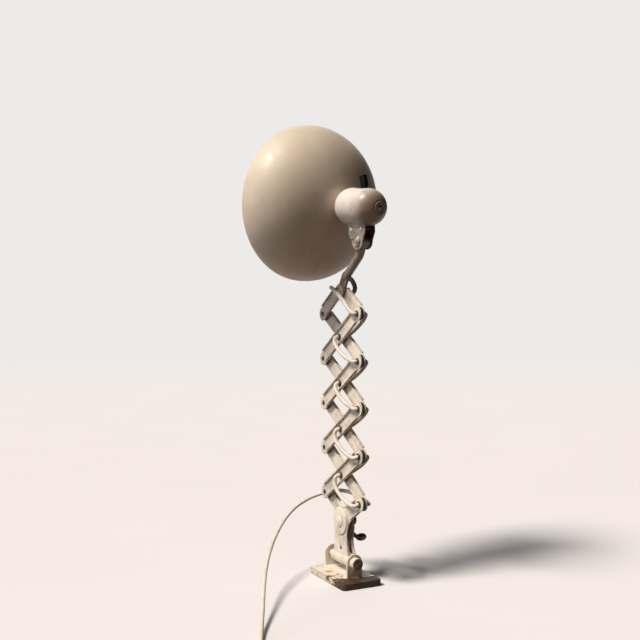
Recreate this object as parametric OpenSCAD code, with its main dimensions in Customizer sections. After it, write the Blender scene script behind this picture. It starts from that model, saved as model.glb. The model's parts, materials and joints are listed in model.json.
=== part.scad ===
// Accordion desk lamp: a scissor arm of riveted links on a tilting stem and a small heavy plate.
// Origin: centre of the base plate's underside. +Z up, +X along the hinge pin, and the links lie in X-Z.

/* [Base] */
// Length of the base plate, along the hinge pin
plate_len = 109; // [95:1:140]
// Width of the base plate
plate_wid = 62; // [50:1:90]
// Thickness of the base plate
plate_t = 9; // [6:0.5:14]
// Corner radius of the base plate
plate_r = 6; // [3:0.5:9]
// Length of the lowered end of the plate
step_len = 17; // [10:1:22]
// Depth of the step across the plate
step_drop = 1; // [0.5:0.25:2]

/* [Base hinge] */
// Height of the hinge pin's axis above the plate
pin_rise = 21; // [18:0.5:28]
// Diameter of the hinge pin
pin_d = 10; // [6:0.5:11]
// Diameter of the knob on the pin's end
knob_d = 16.5; // [14:0.5:22]
// Length of the knob
knob_len = 10; // [6:0.5:16]
// Length of the bracket over its two ears
bracket_len = 70; // [64:1:84]
// Place of the bracket's middle along the plate
bracket_x = -4.6; // [-9:0.1:-2]
// Width of the bracket's ears
bracket_w = 24; // [20:0.5:30]
// Sheet thickness of the bracket
bracket_t = 3; // [2:0.25:4]
// Length of the rolled sleeve at the foot of the stem
sleeve_len = 54; // [48:1:56]
// Outer diameter of the rolled sleeve
sleeve_d = 17.5; // [15:0.5:20]

/* [Stem] */
// Height of the arm's lowest pivot above the table
arm_z = 84.5; // [78:0.5:100]
// Sheet thickness of the stem's cheeks
cheek_t = 1.8; // [1.2:0.1:2.5]
// Radius of the cheeks round the lowest pivot
cheek_r = 21; // [20.5:0.5:24]
// Half the width of the stem at its waist
waist_half = 18; // [15:0.5:20]
// Depth of the turned edge of a cheek
cheek_rim = 3.4; // [2:0.2:4]
// Diameter of the boss plate on the front cheek
boss_d = 38; // [30:1:41]
// Thickness of the boss plate
boss_t = 1.8; // [1:0.2:3]
// Diameter of the clamp bolt
bolt_d = 8; // [6:0.5:10]
// Diameter of the clamp bolt's head
bolt_head_d = 19.5; // [14:0.5:24]
// Height of the clamp bolt's head
bolt_head_h = 3; // [2:0.25:5]

/* [Clamp lever] */
// Diameter of the lever's hub
lever_hub_d = 15; // [13:0.5:20]
// Length of the lever's hub
lever_hub_len = 11; // [8:0.5:14]
// Thickness of the lever's arm
lever_arm_d = 6; // [5:0.5:8]
// Radius of the bend in the lever's arm
lever_bend_r = 17; // [14:0.5:22]
// Length of the lever's oval knob
lever_knob_len = 17; // [14:0.5:22]
// Thickness of the lever's oval knob
lever_knob_d = 11; // [9:0.5:14]

/* [Scissor links] */
// Lean of the stem and the arm about the hinge pin, out of plumb
lean = 0.8; // [0:0.1:3]
// Number of crossings above the lowest pivot
stages = 5; // [5:1:5]
// Distance from a crossing to the end rivet of a link
link_half = 62.3; // [56:0.5:70]
// Angle of the links above the horizontal
fold_angle = 32.3; // [28:0.5:40]
// Width of a link
link_w = 20; // [17:0.5:22]
// Sheet thickness of a link
link_t = 1.6; // [1.2:0.1:2.5]
// Height of the turned edges of a link
flange_h = 3; // [2:0.25:4]
// Distance from an end rivet to where the turned edge starts
flange_clear = 8; // [6:0.5:12]
// Thickness of the friction washers between the two layers of links
washer_t = 4; // [3:0.25:5]
// Running gap between a washer and the link that turns on it
face_gap = 0.15; // [0.1:0.05:0.3]
// Diameter of the friction washers
washer_d = 18.6; // [14:0.2:19]
// Diameter of the rivets
rivet_d = 5; // [4:0.25:6]
// Radial clearance of a turning hole on its pin
run_clear = 0.05; // [0.03:0.01:0.08]
// Diameter of the rivet heads
rivet_head_d = 8; // [7:0.25:10]
// Height of the rivet heads
rivet_head_h = 1.8; // [1.2:0.1:2.6]
// Radius of the wide ends of the two lowest half links
hub_disc_r = 20; // [18:0.5:21]
// Distance along a lowest half link at which its flare ends
flare_end = 30; // [26:1:36]

/* [Neck] */
// Outer diameter of the neck tube
tube_d = 12; // [10:0.5:14]
// Wall of the neck tube
tube_wall = 1; // [0.8:0.1:1.5]
// Length of the straight lower stretch of the neck tube
tube_straight = 44.6; // [38:0.2:48]
// Slope of the neck tube's lower stretch
tube_slope = 35; // [30:1:40]
// Slope at the neck tube's upper end
tube_end_slope = 78; // [66:1:84]
// Bend radius of the neck tube
tube_bend_r = 25; // [22:1:30]
// Thickness of the neck's flat tab
tab_t = 3.6; // [3:0.1:3.8]
// Width of the neck's flat tab
tab_w = 17; // [14:0.5:20]
// Length of the neck's flat tab, from its pivot to its round end
tab_len = 23; // [20:0.5:26]
// Diameter of the cord grommet
grommet_d = 9; // [8:0.5:10]
// How far the grommet stands out from the tube's axis
grommet_reach = 10; // [9:0.5:12]

/* [Knuckle] */
// Angle by which the head is turned on the neck
swivel = 11; // [0:1:20]
// Gap between the two knuckle plates
knuckle_gap = 15.8; // [15:0.2:18]
// Thickness of the knuckle plates
knuckle_t = 1.8; // [1.2:0.1:2.5]
// Width of the knuckle plates at the housing
knuckle_w = 35; // [28:0.5:38]
// Radius of the round lower end of the knuckle plates
knuckle_end_r = 11.5; // [10:0.25:13]
// Height of the housing's middle above the knuckle screw
knuckle_rise = 47.5; // [46:0.5:56]
// Diameter of the knuckle screw
knuckle_screw_d = 5; // [4:0.5:6]
// Distance between the two knuckle rivets
knuckle_rivet_gap = 21; // [16:0.5:24]
// Diameter of the swivel block between the plates
block_d = 20; // [16:0.5:21]

/* [Housing] */
// Radius of the lamp housing
housing_r = 26; // [24:0.5:30]
// Half the distance between the centres of the housing's two round ends
housing_half = 16; // [12:0.5:20]
// Wall of the lamp housing
housing_wall = 1.4; // [1:0.1:2]
// How far the shade's top lies behind the housing's middle
seat_x = 35; // [33:0.5:37]
// Place of the joint between the housing's two shells
split_x = 3; // [-2:0.5:5]
// Tilt of the head, opening upwards
pitch = 8; // [0:1:15]
// Place of the switch along the housing
switch_x = 10; // [9:0.5:12]

/* [Shade] */
// Outer radius of the shade's rim
shade_r = 115; // [100:1:140]
// Depth of the shade
shade_depth = 87; // [78:1:110]
// Wall of the shade
shade_wall = 1.2; // [1:0.1:2]
// Diameter of the lampholder's threaded neck
holder_neck_d = 28; // [24:0.5:30]
// Diameter of the lampholder's skirt
holder_d = 39; // [36:0.5:44]
// Depth of the lampholder's skirt inside the shade
holder_len = 34; // [30:0.5:38]
// Diameter of the bulb's screw cap
bulb_cap_d = 26; // [25:0.25:27]
// Diameter of the bulb's glass
bulb_d = 45; // [40:1:60]

/* [Cord] */
// Diameter of the mains cord
cord_d = 5; // [4:0.25:6]
// Number of turns in the stored coil
coil_turns = 7; // [4:1:10]
// Step between neighbouring turns of the coil
coil_pitch = 5.6; // [5.5:0.1:7]
// Radius of the coil's innermost turn
coil_inner_r = 20; // [16:0.5:24]
// Length of the plug's body
plug_len = 36; // [30:1:44]
// Width of the plug's body
plug_w = 34; // [30:1:38]
// Thickness of the plug's body
plug_t = 13.6; // [12:0.2:16]

/* [Hidden] */
$fn = 48;
eps = 0.01;

cream = [0.87, 0.80, 0.68];
cream_shade = [0.80, 0.73, 0.62];
dark_metal = [0.20, 0.15, 0.12];
steel = [0.62, 0.61, 0.58];
black = [0.06, 0.06, 0.06];
cord_white = [0.85, 0.80, 0.72];

// ---- levels and places that follow from the sizes above ----
pin_z = plate_t + pin_rise;
bracket_x0 = bracket_x - bracket_len / 2;
bracket_x1 = bracket_x + bracket_len / 2;
ear_gap = 0.4;
sleeve_x1 = bracket_x1 - bracket_t - ear_gap;
sleeve_mid = sleeve_x1 - sleeve_len / 2;

web_in = (washer_t + face_gap) / 2;
web_out = web_in + link_t;
flange_out = web_out + flange_h;
cheek_in = web_out + face_gap;
cheek_out = cheek_in + cheek_t;
rim_in = cheek_out - cheek_rim;
bolt_front = cheek_out + boss_t;

stage_h = 2 * link_half * sin(fold_angle);
side_x = link_half * cos(fold_angle);
function crossing_z(k) = arm_z + k * stage_h;
function side_z(k) = crossing_z(k) - stage_h / 2;
top_z = crossing_z(stages);

// neck: the tube's lower end sits a little above the top crossing
tube_x = 14.7;
tube_rise = 18.9;
tube_z = top_z + tube_rise;
tube_tangent = [tube_x + tube_straight * cos(tube_slope), tube_z + tube_straight * sin(tube_slope)];
tube_centre = tube_tangent + tube_bend_r * [-sin(tube_slope), cos(tube_slope)];
tube_top = tube_centre + tube_bend_r * [sin(tube_end_slope), -cos(tube_end_slope)];
tab_slope = 54;
grommet_slope = tube_slope - 90;
grommet_along = 11;
block_rise = 7;

seat_r = sqrt(pow(housing_r, 2) - pow(seat_x - housing_half, 2));
holder_gap = 0.3;
shade_x = -seat_x - holder_gap;
ring_t = 4;
shade_sag = shade_depth * (1 - sqrt(1 - pow(holder_d / 2 / (shade_r - shade_wall), 2)));
ring_x = shade_x - shade_wall - shade_sag - holder_gap;
holder_x = ring_x - ring_t - 0.1;
glass_x = holder_x - holder_len - sqrt(pow(bulb_d / 2, 2) - pow(bulb_cap_d / 2 + 1, 2)) - 2.5;

// ---- small helpers ----
// Tips what stands on the hinge pin by the lean
module leaning() translate([0, 0, pin_z]) rotate([lean, 0, 0]) translate([0, 0, -pin_z]) children();
function leant(p) = [p[0], p[1] * cos(lean) - (p[2] - pin_z) * sin(lean), pin_z + p[1] * sin(lean) + (p[2] - pin_z) * cos(lean)];

// A slab of a drawing in X-Z, from y0 to y1
module slab(y0, y1) translate([0, y1, 0]) rotate([90, 0, 0]) linear_extrude(y1 - y0) children();

// A round bar along Y at (x, z)
module bar_y(x, z, d, y0, y1) translate([x, y1, z]) rotate([90, 0, 0]) cylinder(d = d, h = y1 - y0);

// A round bar along X at (y, z)
module bar_x(y, z, d, x0, x1) translate([x0, y, z]) rotate([0, 90, 0]) cylinder(d = d, h = x1 - x0);

// A strip with round ends, from u0 to u1
module strip(u0, u1, w) {
    translate([u0, -w / 2]) square([u1 - u0, w]);
    translate([u0, 0]) circle(d = w);
    translate([u1, 0]) circle(d = w);
}

// A low domed head that stands on z = 0
module dome(d, h) {
    r = (pow(d / 2, 2) + pow(h, 2)) / (2 * h);
    intersection() {
        translate([0, 0, h - r]) sphere(r = r, $fn = 64);
        cylinder(d = d, h = h);
    }
}

// A domed head on the plane y, facing out along side (-1 front, 1 back)
module head_y(x, z, y, d, h, side) translate([x, side * y, z]) rotate([-90 * side, 0, 0]) dome(d, h);

// ---- base ----
module plate_outline(inset) {
    hull_x = plate_len / 2 - plate_r;
    hull_y = plate_wid / 2 - plate_r;
    square([plate_len - 2 * inset, 2 * hull_y], center = true);
    square([2 * hull_x, plate_wid - 2 * inset], center = true);
    for (sx = [-1, 1], sy = [-1, 1]) translate([sx * hull_x, sy * hull_y]) circle(r = plate_r - inset);
}

module base_plate() {
    color(cream) difference() {
        linear_extrude(plate_t) plate_outline(0);
        translate([-plate_len / 2 - eps, -plate_wid / 2 - eps, plate_t - step_drop])
            cube([step_len + eps, plate_wid + 2 * eps, step_drop + eps]);
        difference() {
            translate([-plate_len / 2 - eps, -plate_wid / 2 - eps, -eps])
                cube([step_len + eps, plate_wid + 2 * eps, plate_t + 2 * eps]);
            translate([0, 0, -2 * eps]) linear_extrude(plate_t + 4 * eps) plate_outline(step_drop);
        }
    }
}

module ear(x) {
    difference() {
        union() {
            bar_x(0, pin_z, bracket_w, x, x + bracket_t);
            translate([x, -bracket_w / 2, plate_t]) cube([bracket_t, bracket_w, pin_rise]);
        }
        bar_x(0, pin_z, pin_d, x - eps, x + bracket_t + eps);
    }
}

module base_bracket() {
    color(cream) {
        ear(bracket_x0);
        ear(bracket_x1 - bracket_t);
        translate([bracket_x0, -bracket_w / 2, plate_t]) cube([bracket_len, bracket_w, bracket_t]);
    }
}

module hinge_pin() {
    color(dark_metal) {
        bar_x(0, pin_z, pin_d, bracket_x0, bracket_x1 + eps);
        bar_x(0, pin_z, knob_d, bracket_x1, bracket_x1 + knob_len);
    }
}

// ---- stem ----
// Side outline of a cheek, drawn in by inset all round
module cheek_outline(inset, foot_z) {
    waist_z = (pin_z + arm_z) / 2 + 4;
    foot_half = sleeve_len / 2 - 1;
    drop = waist_z - foot_z;
    side_r = (pow(foot_half - waist_half, 2) + pow(drop, 2)) / (2 * (foot_half - waist_half));
    difference() {
        union() {
            translate([0, arm_z]) circle(r = cheek_r - inset);
            polygon([
                [-foot_half + inset, foot_z + inset], [foot_half - inset, foot_z + inset],
                [cheek_r - inset, arm_z], [-cheek_r + inset, arm_z]
            ]);
        }
        for (s = [-1, 1]) translate([s * (waist_half + side_r), waist_z]) circle(r = side_r + inset);
    }
}

module cheek(side, foot_z) {
    rim_top = arm_z - cheek_r - 2;
    y0 = side < 0 ? -cheek_out : cheek_in;
    difference() {
        union() {
            slab(y0, y0 + cheek_t) cheek_outline(0, foot_z);
            difference() {
                slab(side < 0 ? -cheek_out : rim_in, side < 0 ? -rim_in : cheek_out)
                    cheek_outline(0, foot_z);
                slab(-cheek_out - 1, cheek_out + 1) cheek_outline(cheek_t, foot_z - cheek_t - 1);
                translate([-cheek_r * 2, -cheek_out - 1, rim_top])
                    cube([cheek_r * 4, 2 * cheek_out + 2, 3 * cheek_r]);
            }
        }
        bar_y(0, arm_z, bolt_d, -cheek_out - 1, cheek_out + 1);
        bar_y(0, rivet_z, rivet_d, -cheek_out - 1, cheek_out + 1);
    }
}

rivet_z = pin_z + sleeve_d / 2 + 7;

module stem_front_cheek() {
    color(cream) difference() {
        union() {
            translate([sleeve_mid, 0, 0]) cheek(-1, pin_z);
            bar_x(0, pin_z, sleeve_d, sleeve_mid - sleeve_len / 2, sleeve_mid + sleeve_len / 2);
        }
        bar_x(0, pin_z, pin_d + 2 * run_clear, sleeve_mid - sleeve_len, sleeve_mid + sleeve_len);
    }
}

module stem_back_cheek() {
    color(cream_shade) translate([sleeve_mid, 0, 0]) cheek(1, pin_z + sleeve_d / 2 + 0.3);
}

module stem_rivet() {
    color(cream_shade) {
        bar_y(sleeve_mid, rivet_z, rivet_d, -cheek_out, cheek_out);
        head_y(sleeve_mid, rivet_z, cheek_out, rivet_head_d * 0.6, rivet_head_h / 2, -1);
        head_y(sleeve_mid, rivet_z, cheek_out, rivet_head_d, rivet_head_h, 1);
    }
}

module boss_plate() {
    color(cream) difference() {
        bar_y(sleeve_mid, arm_z, boss_d, -cheek_out - boss_t, -cheek_out);
        bar_y(sleeve_mid, arm_z, bolt_d, -cheek_out - boss_t - 1, 0);
    }
}

module clamp_bolt() {
    color(cream) {
        bar_y(sleeve_mid, arm_z, bolt_d, -bolt_front, cheek_out + lever_hub_len - 1);
        head_y(sleeve_mid, arm_z, bolt_front, bolt_head_d, bolt_head_h, -1);
    }
}

// ---- clamp lever, behind the stem ----
module clamp_lever() {
    hub_y = cheek_out + face_gap;
    arm_y = hub_y + lever_hub_len / 2;
    color(dark_metal) translate([sleeve_mid, 0, arm_z]) {
        difference() {
            union() {
                bar_y(0, 0, lever_hub_d, hub_y, hub_y + lever_hub_len);
                translate([0, arm_y, -lever_hub_d / 2 - 3]) cylinder(d = lever_arm_d, h = lever_hub_d / 2 - 2);
                translate([0, arm_y + lever_bend_r, -lever_hub_d / 2 - 3]) rotate([0, 90, 0])
                    rotate([0, 0, -90]) rotate_extrude(angle = 90) translate([lever_bend_r, 0])
                        circle(d = lever_arm_d);
                translate([0, arm_y + lever_bend_r, -lever_hub_d / 2 - 3 - lever_bend_r]) rotate([-90, 0, 0])
                    rotate_extrude() lever_knob_profile();
            }
            bar_y(0, 0, bolt_d + 2 * run_clear, hub_y - 1, hub_y + lever_hub_len + 1);
        }
    }
}

module lever_knob_profile() {
    steps = 10;
    polygon([for (i = [0:steps]) let (a = 180 * i / steps - 90)
        [lever_knob_d / 2 * cos(a), lever_knob_len / 2 * sin(a)]]);
}

// ---- scissor links ----
module hub_washer() {
    color(black) difference() {
        bar_y(sleeve_mid, arm_z, 2 * hub_disc_r - 2, -washer_t / 2, washer_t / 2);
        bar_y(sleeve_mid, arm_z, bolt_d + 2 * run_clear, -washer_t, washer_t);
    }
}

// One link of the front layer, from u0 to u1 along its length; holes is a list of [place, diameter]
module link_blank(u0, u1, holes, flare) {
    flare_r = (pow(flare_end, 2) + pow(link_w / 2, 2) - pow(hub_disc_r, 2)) / (2 * hub_disc_r - link_w);
    edge0 = flare == 0 ? u0 + flange_clear : (flare > 0 ? flare_end : u0 + flange_clear);
    edge1 = flare < 0 ? -flare_end : u1 - flange_clear;
    difference() {
        union() {
            slab(-web_out, -web_in) {
                strip(u0, u1, link_w);
                if (flare != 0) {
                    circle(r = hub_disc_r);
                    difference() {
                        polygon([[0, -hub_disc_r], [0, hub_disc_r], [flare * flare_end, link_w / 2],
                            [flare * flare_end, -link_w / 2]]);
                        for (s = [-1, 1]) translate([flare * flare_end, s * (link_w / 2 + flare_r)])
                            circle(r = flare_r);
                    }
                }
            }
            for (s = [-1, 1])
                translate([edge0, -flange_out, s > 0 ? link_w / 2 - link_t : -link_w / 2])
                    cube([edge1 - edge0, flange_h + link_t, link_t]);
        }
        for (h = holes) bar_y(h[0], 0, h[1], -web_out - 1, 0);
    }
}

turning = rivet_d + 2 * run_clear;

// A front link "/" through the crossing k, and a back link "\" through it
module link_a(k) {
    first = k == 0 ? 0 : -link_half;
    last = k == stages ? 0 : link_half;
    middle = k == 0 ? bolt_d + 2 * run_clear : (k == stages ? turning : rivet_d);
    holes = concat([[0, middle]], k > 0 ? [[-link_half, rivet_d]] : [], k < stages ? [[link_half, rivet_d]] : []);
    color(k < 4 ? cream : cream_shade) translate([link_x(k), 0, crossing_z(k)])
        rotate([0, -fold_angle, 0]) link_blank(first, last, holes, k == 0 ? 1 : 0);
}

module link_b(k) {
    first = k == 0 ? -link_half : (k == stages ? 0 : -link_half);
    last = k == 0 ? 0 : link_half;
    middle = k == 0 ? bolt_d + 2 * run_clear : turning;
    holes = concat([[0, middle]], k < stages ? [[-link_half, turning]] : [], k > 0 ? [[link_half, turning]] : []);
    color(k < 4 ? cream : cream_shade) translate([link_x(k), 0, crossing_z(k)]) rotate([0, fold_angle, 0])
        mirror([0, 1, 0]) link_blank(first, last, holes, k == 0 ? -1 : 0);
}

// The arm stands over the middle of the sleeve
function link_x(k) = sleeve_mid;

// The pivots that travel with front link k: its lower end, its middle and its upper end
function pivots(k) = concat(
    k > 0 ? [[sleeve_mid - side_x, side_z(k)]] : [],
    k > 0 && k < stages ? [[sleeve_mid, crossing_z(k)]] : [],
    k < stages ? [[sleeve_mid + side_x, side_z(k + 1)]] : []);

module rivets_a(k) {
    color(dark_metal) for (p = pivots(k)) {
        bar_y(p[0], p[1], rivet_d, -web_out, web_out + face_gap);
        head_y(p[0], p[1], web_out, rivet_head_d, rivet_head_h, -1);
        head_y(p[0], p[1], web_out + face_gap, rivet_head_d, rivet_head_h, 1);
    }
}

module washers_a(k) {
    color(black) for (p = pivots(k)) difference() {
        bar_y(p[0], p[1], washer_d, -web_in, washer_t - web_in);
        bar_y(p[0], p[1], rivet_d, -washer_t, washer_t);
    }
}

// ---- neck ----
module neck_place() translate([sleeve_mid, 0, 0]) children();

module tab_body(extra) {
    translate([0, 0, top_z]) rotate([0, -tab_slope, 0]) slab(-tab_t / 2 - extra, tab_t / 2 + extra)
        strip(0, tab_len, tab_w);
}

module neck_tab() {
    color(cream_shade) neck_place() difference() {
        tab_body(0);
        bar_y(0, top_z, rivet_d, -tab_t, tab_t);
    }
}

// How far the neck tube runs straight on past its bend, into the swivel block
tube_end = 4;

// The neck tube's middle line, longer by extra at both ends: a straight stretch, a bend and a short straight end
tube_bend_steps = 8;
function tube_line(extra) = concat(
    [[tube_x - extra * cos(tube_slope), 0, tube_z - extra * sin(tube_slope)]],
    [for (i = [0:tube_bend_steps]) let (a = tube_slope + (tube_end_slope - tube_slope) * i / tube_bend_steps)
        [tube_centre[0] + tube_bend_r * sin(a), 0, tube_centre[1] - tube_bend_r * cos(a)]],
    [[tube_top[0] + (tube_end + extra) * cos(tube_end_slope), 0, tube_top[1] + (tube_end + extra) * sin(tube_end_slope)]]);

module neck_tube() {
    color(cream_shade) neck_place() difference() {
        tube_along(tube_line(0), tube_d, 28, [0, 1, 0]);
        tube_along(tube_line(1), tube_d - 2 * tube_wall, 28, [0, 1, 0]);
        tab_body(0);
        grommet_bar(grommet_d - 2, 0, tube_d);
    }
}

// A bar through the tube's wall at the grommet, from reach r0 to r1
module grommet_bar(d, r0, r1) {
    translate([tube_x + grommet_along * cos(tube_slope), 0, tube_z + grommet_along * sin(tube_slope)])
        rotate([0, 90 - grommet_slope, 0]) translate([0, 0, r0]) cylinder(d = d, h = r1 - r0);
}

module cord_grommet() {
    color(black) neck_place() difference() {
        union() {
            grommet_bar(grommet_d - 2, tube_d / 2 - tube_wall, tube_d / 2 + 1);
            difference() {
                grommet_bar(grommet_d, tube_d / 2 - 2, grommet_reach);
                translate([tube_x, 0, tube_z]) rotate([0, 90 - tube_slope, 0])
                    translate([0, 0, -tube_d]) cylinder(d = tube_d, h = tube_straight);
            }
        }
        grommet_bar(cord_d - 1, 0, grommet_reach - 2);
    }
}

module neck_screw() {
    color(steel) neck_place() {
        bar_y(0, top_z, rivet_d, -web_out - face_gap, web_out + face_gap);
        head_y(0, top_z, web_out + face_gap, rivet_head_d + 1, rivet_head_h, -1);
        translate([0, web_out + face_gap + rivet_head_h + 0.6, top_z]) rotate([90, 0, 0])
            cylinder(d = rivet_head_d + 2, h = rivet_head_h + 0.6, $fn = 6);
    }
}

// ---- knuckle: z runs along the swivel axis, y along the screw ----
module at_swivel() {
    neck_place() translate([tube_top[0], 0, tube_top[1]]) rotate([0, 90 - tube_end_slope, 0])
        rotate([0, 0, swivel]) children();
}

// The knuckle plates hang upright from the housing
module at_knuckle() at_swivel() translate([0, 0, block_rise]) rotate([0, tube_end_slope - 90, 0]) children();

// The housing's own axis is x, towards its round cap
module at_head() at_knuckle() translate([0, 0, knuckle_rise]) rotate([0, pitch, 0]) children();

block_side = knuckle_gap / 2 - 0.2;

module swivel_block() {
    color(cream_shade) at_swivel() difference() {
        union() {
            bar_y(0, block_rise, block_d, -block_side, block_side);
            translate([0, 0, 0.2]) cylinder(d = block_side * 2, h = block_rise);
        }
        translate([0, 0, -1]) cylinder(d = tube_d + 2 * run_clear, h = tube_end + 1.2);
        translate([0, 0, -block_d]) cylinder(d = tube_d + 1, h = block_d);
        cylinder(d = tube_d - 4, h = block_rise + block_d);
        bar_y(0, block_rise, knuckle_screw_d + 2 * run_clear, -block_d, block_d);
    }
}

module knuckle_plate(side) {
    y0 = side < 0 ? -knuckle_gap / 2 - knuckle_t : knuckle_gap / 2;
    difference() {
        at_knuckle() difference() {
            slab(y0, y0 + knuckle_t) {
                circle(r = knuckle_end_r);
                polygon([
                    [-knuckle_end_r, 0], [knuckle_end_r, 0], [knuckle_w / 2, knuckle_rise / 4],
                    [knuckle_w / 2, knuckle_rise - housing_half], [-knuckle_w / 2, knuckle_rise - housing_half],
                    [-knuckle_w / 2, knuckle_rise / 4]
                ]);
            }
            bar_y(0, 0, knuckle_screw_d, -knuckle_w, knuckle_w);
            for (s = [-1, 1])
                bar_y(s * knuckle_rivet_gap / 2, knuckle_rivet_z, 4, -knuckle_w, knuckle_w);
        }
        at_head() housing_solid(housing_r + 0.1);
    }
}

knuckle_rivet_z = 17;

module knuckle_front_plate() color(steel) knuckle_plate(-1);
module knuckle_back_plate() color(dark_metal) knuckle_plate(1);

module knuckle_rivets() {
    out = knuckle_gap / 2 + knuckle_t;
    color(steel) at_knuckle() for (s = [-1, 1]) {
        bar_y(s * knuckle_rivet_gap / 2, knuckle_rivet_z, 4, -out, out);
        for (side = [-1, 1]) head_y(s * knuckle_rivet_gap / 2, knuckle_rivet_z, out, 6, 2, side);
    }
}

module knuckle_screw() {
    out = knuckle_gap / 2 + knuckle_t;
    color(steel) at_knuckle() {
        bar_y(0, 0, knuckle_screw_d, -out, out);
        head_y(0, 0, out, 11, 2.6, -1);
        translate([0, out + 3.4, 0]) rotate([90, 0, 0]) cylinder(d = 10, h = 3.4, $fn = 6);
    }
}

// ---- housing ----
arc_steps = 9;

// Outline of the egg-shaped housing from x0 to x1, at radius r: [radius, place]
function housing_radius(x, r) = abs(x) <= housing_half
    ? r - 0.8 * pow(cos(90 * x / housing_half), 2)
    : sqrt(max(0, pow(r, 2) - pow(abs(x) - housing_half, 2)));
function housing_points(x0, x1, r, n) = [for (i = [0:n]) let (x = x0 + (x1 - x0) * i / n)
    [housing_radius(x, r), x]];
function dome_points(r, a1) = [for (i = [1:arc_steps]) let (a = a1 * i / arc_steps)
    [r * cos(a), housing_half + r * sin(a)]];

module along_x() rotate([0, 90, 0]) children();

module housing_solid(r) {
    along_x() rotate_extrude() polygon(concat(
        [[0, -housing_half - r]],
        [for (i = [arc_steps - 1:-1:1]) let (a = 90 * i / arc_steps) [r * cos(a), -housing_half - r * sin(a)]],
        housing_points(-housing_half, housing_half, r, 6),
        [for (i = [1:arc_steps - 1]) let (a = 90 * i / arc_steps) [r * cos(a), housing_half + r * sin(a)]],
        [[0, housing_half + r]]));
}

module housing_rear_shell() {
    inner = housing_r - housing_wall;
    color(cream) at_head() difference() {
        along_x() rotate_extrude() polygon(concat(
            housing_points(-seat_x, -housing_half, housing_r, 6),
            housing_points(-housing_half, split_x, housing_r, 6),
            [for (i = [6:-1:0]) housing_points(-housing_half, split_x, inner, 6)[i]],
            [for (i = [6:-1:0]) housing_points(-seat_x + housing_wall, -housing_half, inner, 6)[i]],
            [[holder_neck_d / 2 + 0.1, -seat_x + housing_wall], [holder_neck_d / 2 + 0.1, -seat_x]]));
        wire_hole();
    }
}

// The opening in the housing's underside for the wires from the neck
module wire_hole() translate([0, 0, -housing_r - 2]) cylinder(d = 9, h = housing_r);

module housing_cap() {
    inner = housing_r - housing_wall;
    n = 6;
    color(cream) at_head() difference() {
        along_x() rotate_extrude() polygon(concat(
            housing_points(split_x, housing_half, housing_r, n), dome_points(housing_r, 90 - eps),
            [for (i = [arc_steps - 1:-1:0]) dome_points(inner, 90 - eps)[i]],
            [for (i = [n:-1:0]) housing_points(split_x, housing_half, inner, n)[i]]));
        wire_hole();
        translate([switch_x - 6, -3.6, 0]) cube([12, 7.2, housing_r + 2]);
        bar_x(0, 0, 4, housing_half, housing_half + housing_r + 1);
        translate([housing_half + housing_r - 1.7, 0, 0]) along_x() rotate_extrude()
            translate([8.5, 0]) circle(d = 1.6);
        bar_x(0, 0, 9, housing_half + housing_r - 0.9, housing_half + housing_r + 1);
    }
}

module cap_screw() {
    color(dark_metal) at_head() {
        bar_x(0, 0, 4, housing_half + housing_r - 10, housing_half + housing_r - 0.9);
        translate([housing_half + housing_r - 0.9, 0, 0]) along_x() dome(7, 1.5);
    }
}

// ---- switch ----
module switch_body() {
    color(black) at_head() difference() {
        translate([switch_x - 9, -7, housing_r - 18]) cube([18, 14, 13.5]);
        translate([switch_x - 6, -3.6, housing_r - 12]) cube([12, 7.2, 14]);
        bar_y(switch_x, housing_r - 8, 2 + 2 * run_clear, -8, 8);
    }
}

module switch_toggle() {
    color(black) at_head() translate([switch_x, 0, housing_r - 8]) rotate([0, -18, 0]) {
        bar_y(0, 0, 2, -6.8, 6.8);
        bar_y(0, 0, 6, -3.1, 3.1);
        translate([-2.2, -3.1, 0]) cube([4.4, 6.2, 10.5]);
        slab(-3.1, 3.1) polygon([[-4.6, 10.5], [4.6, 10.5], [5, 26], [-5, 26]]);
    }
}

// ---- shade and lamp ----
shade_steps = 16;
function shade_point(a, grow) = [(shade_r - grow) * sin(a), (shade_depth - grow) * (1 - cos(a)) + grow];

module shade() {
    hole_r = holder_neck_d / 2 + 0.15;
    a0 = asin(hole_r / shade_r);
    rim = 1.6;
    color(cream) at_head() translate([shade_x, 0, 0]) mirror([1, 0, 0]) along_x()
        rotate_extrude() polygon(concat(
            [for (i = [0:shade_steps]) shade_point(a0 + (90 - a0) * i / shade_steps, 0)],
            [[shade_r, shade_depth + rim], [shade_r - rim, shade_depth + rim], [shade_r - rim, shade_depth]],
            [for (i = [shade_steps:-1:0]) shade_point(a0 + (90 - a0) * i / shade_steps, shade_wall)]));
}

module shade_ring() {
    color(black) at_head() difference() {
        bar_x(0, 0, holder_d, ring_x - ring_t, ring_x);
        bar_x(0, 0, holder_neck_d + 0.2, ring_x - ring_t - 1, ring_x + 1);
    }
}

module lampholder() {
    color(black) at_head() difference() {
        union() {
            bar_x(0, 0, holder_neck_d, holder_x - 1, -seat_x + 12);
            bar_x(0, 0, holder_d, holder_x - holder_len, holder_x);
        }
        bar_x(0, 0, bulb_cap_d + 2, holder_x - holder_len - 1, holder_x - 6);
        bar_x(0, 0, 10, holder_x - 8, -seat_x + 13);
    }
}

module bulb_cap() {
    color(steel) at_head() {
        bar_x(0, 0, bulb_cap_d, holder_x - holder_len + 3, holder_x - 11);
        bar_x(0, 0, 11, holder_x - 12, holder_x - 6.3);
    }
}

bulb_steps = 18;

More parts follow.
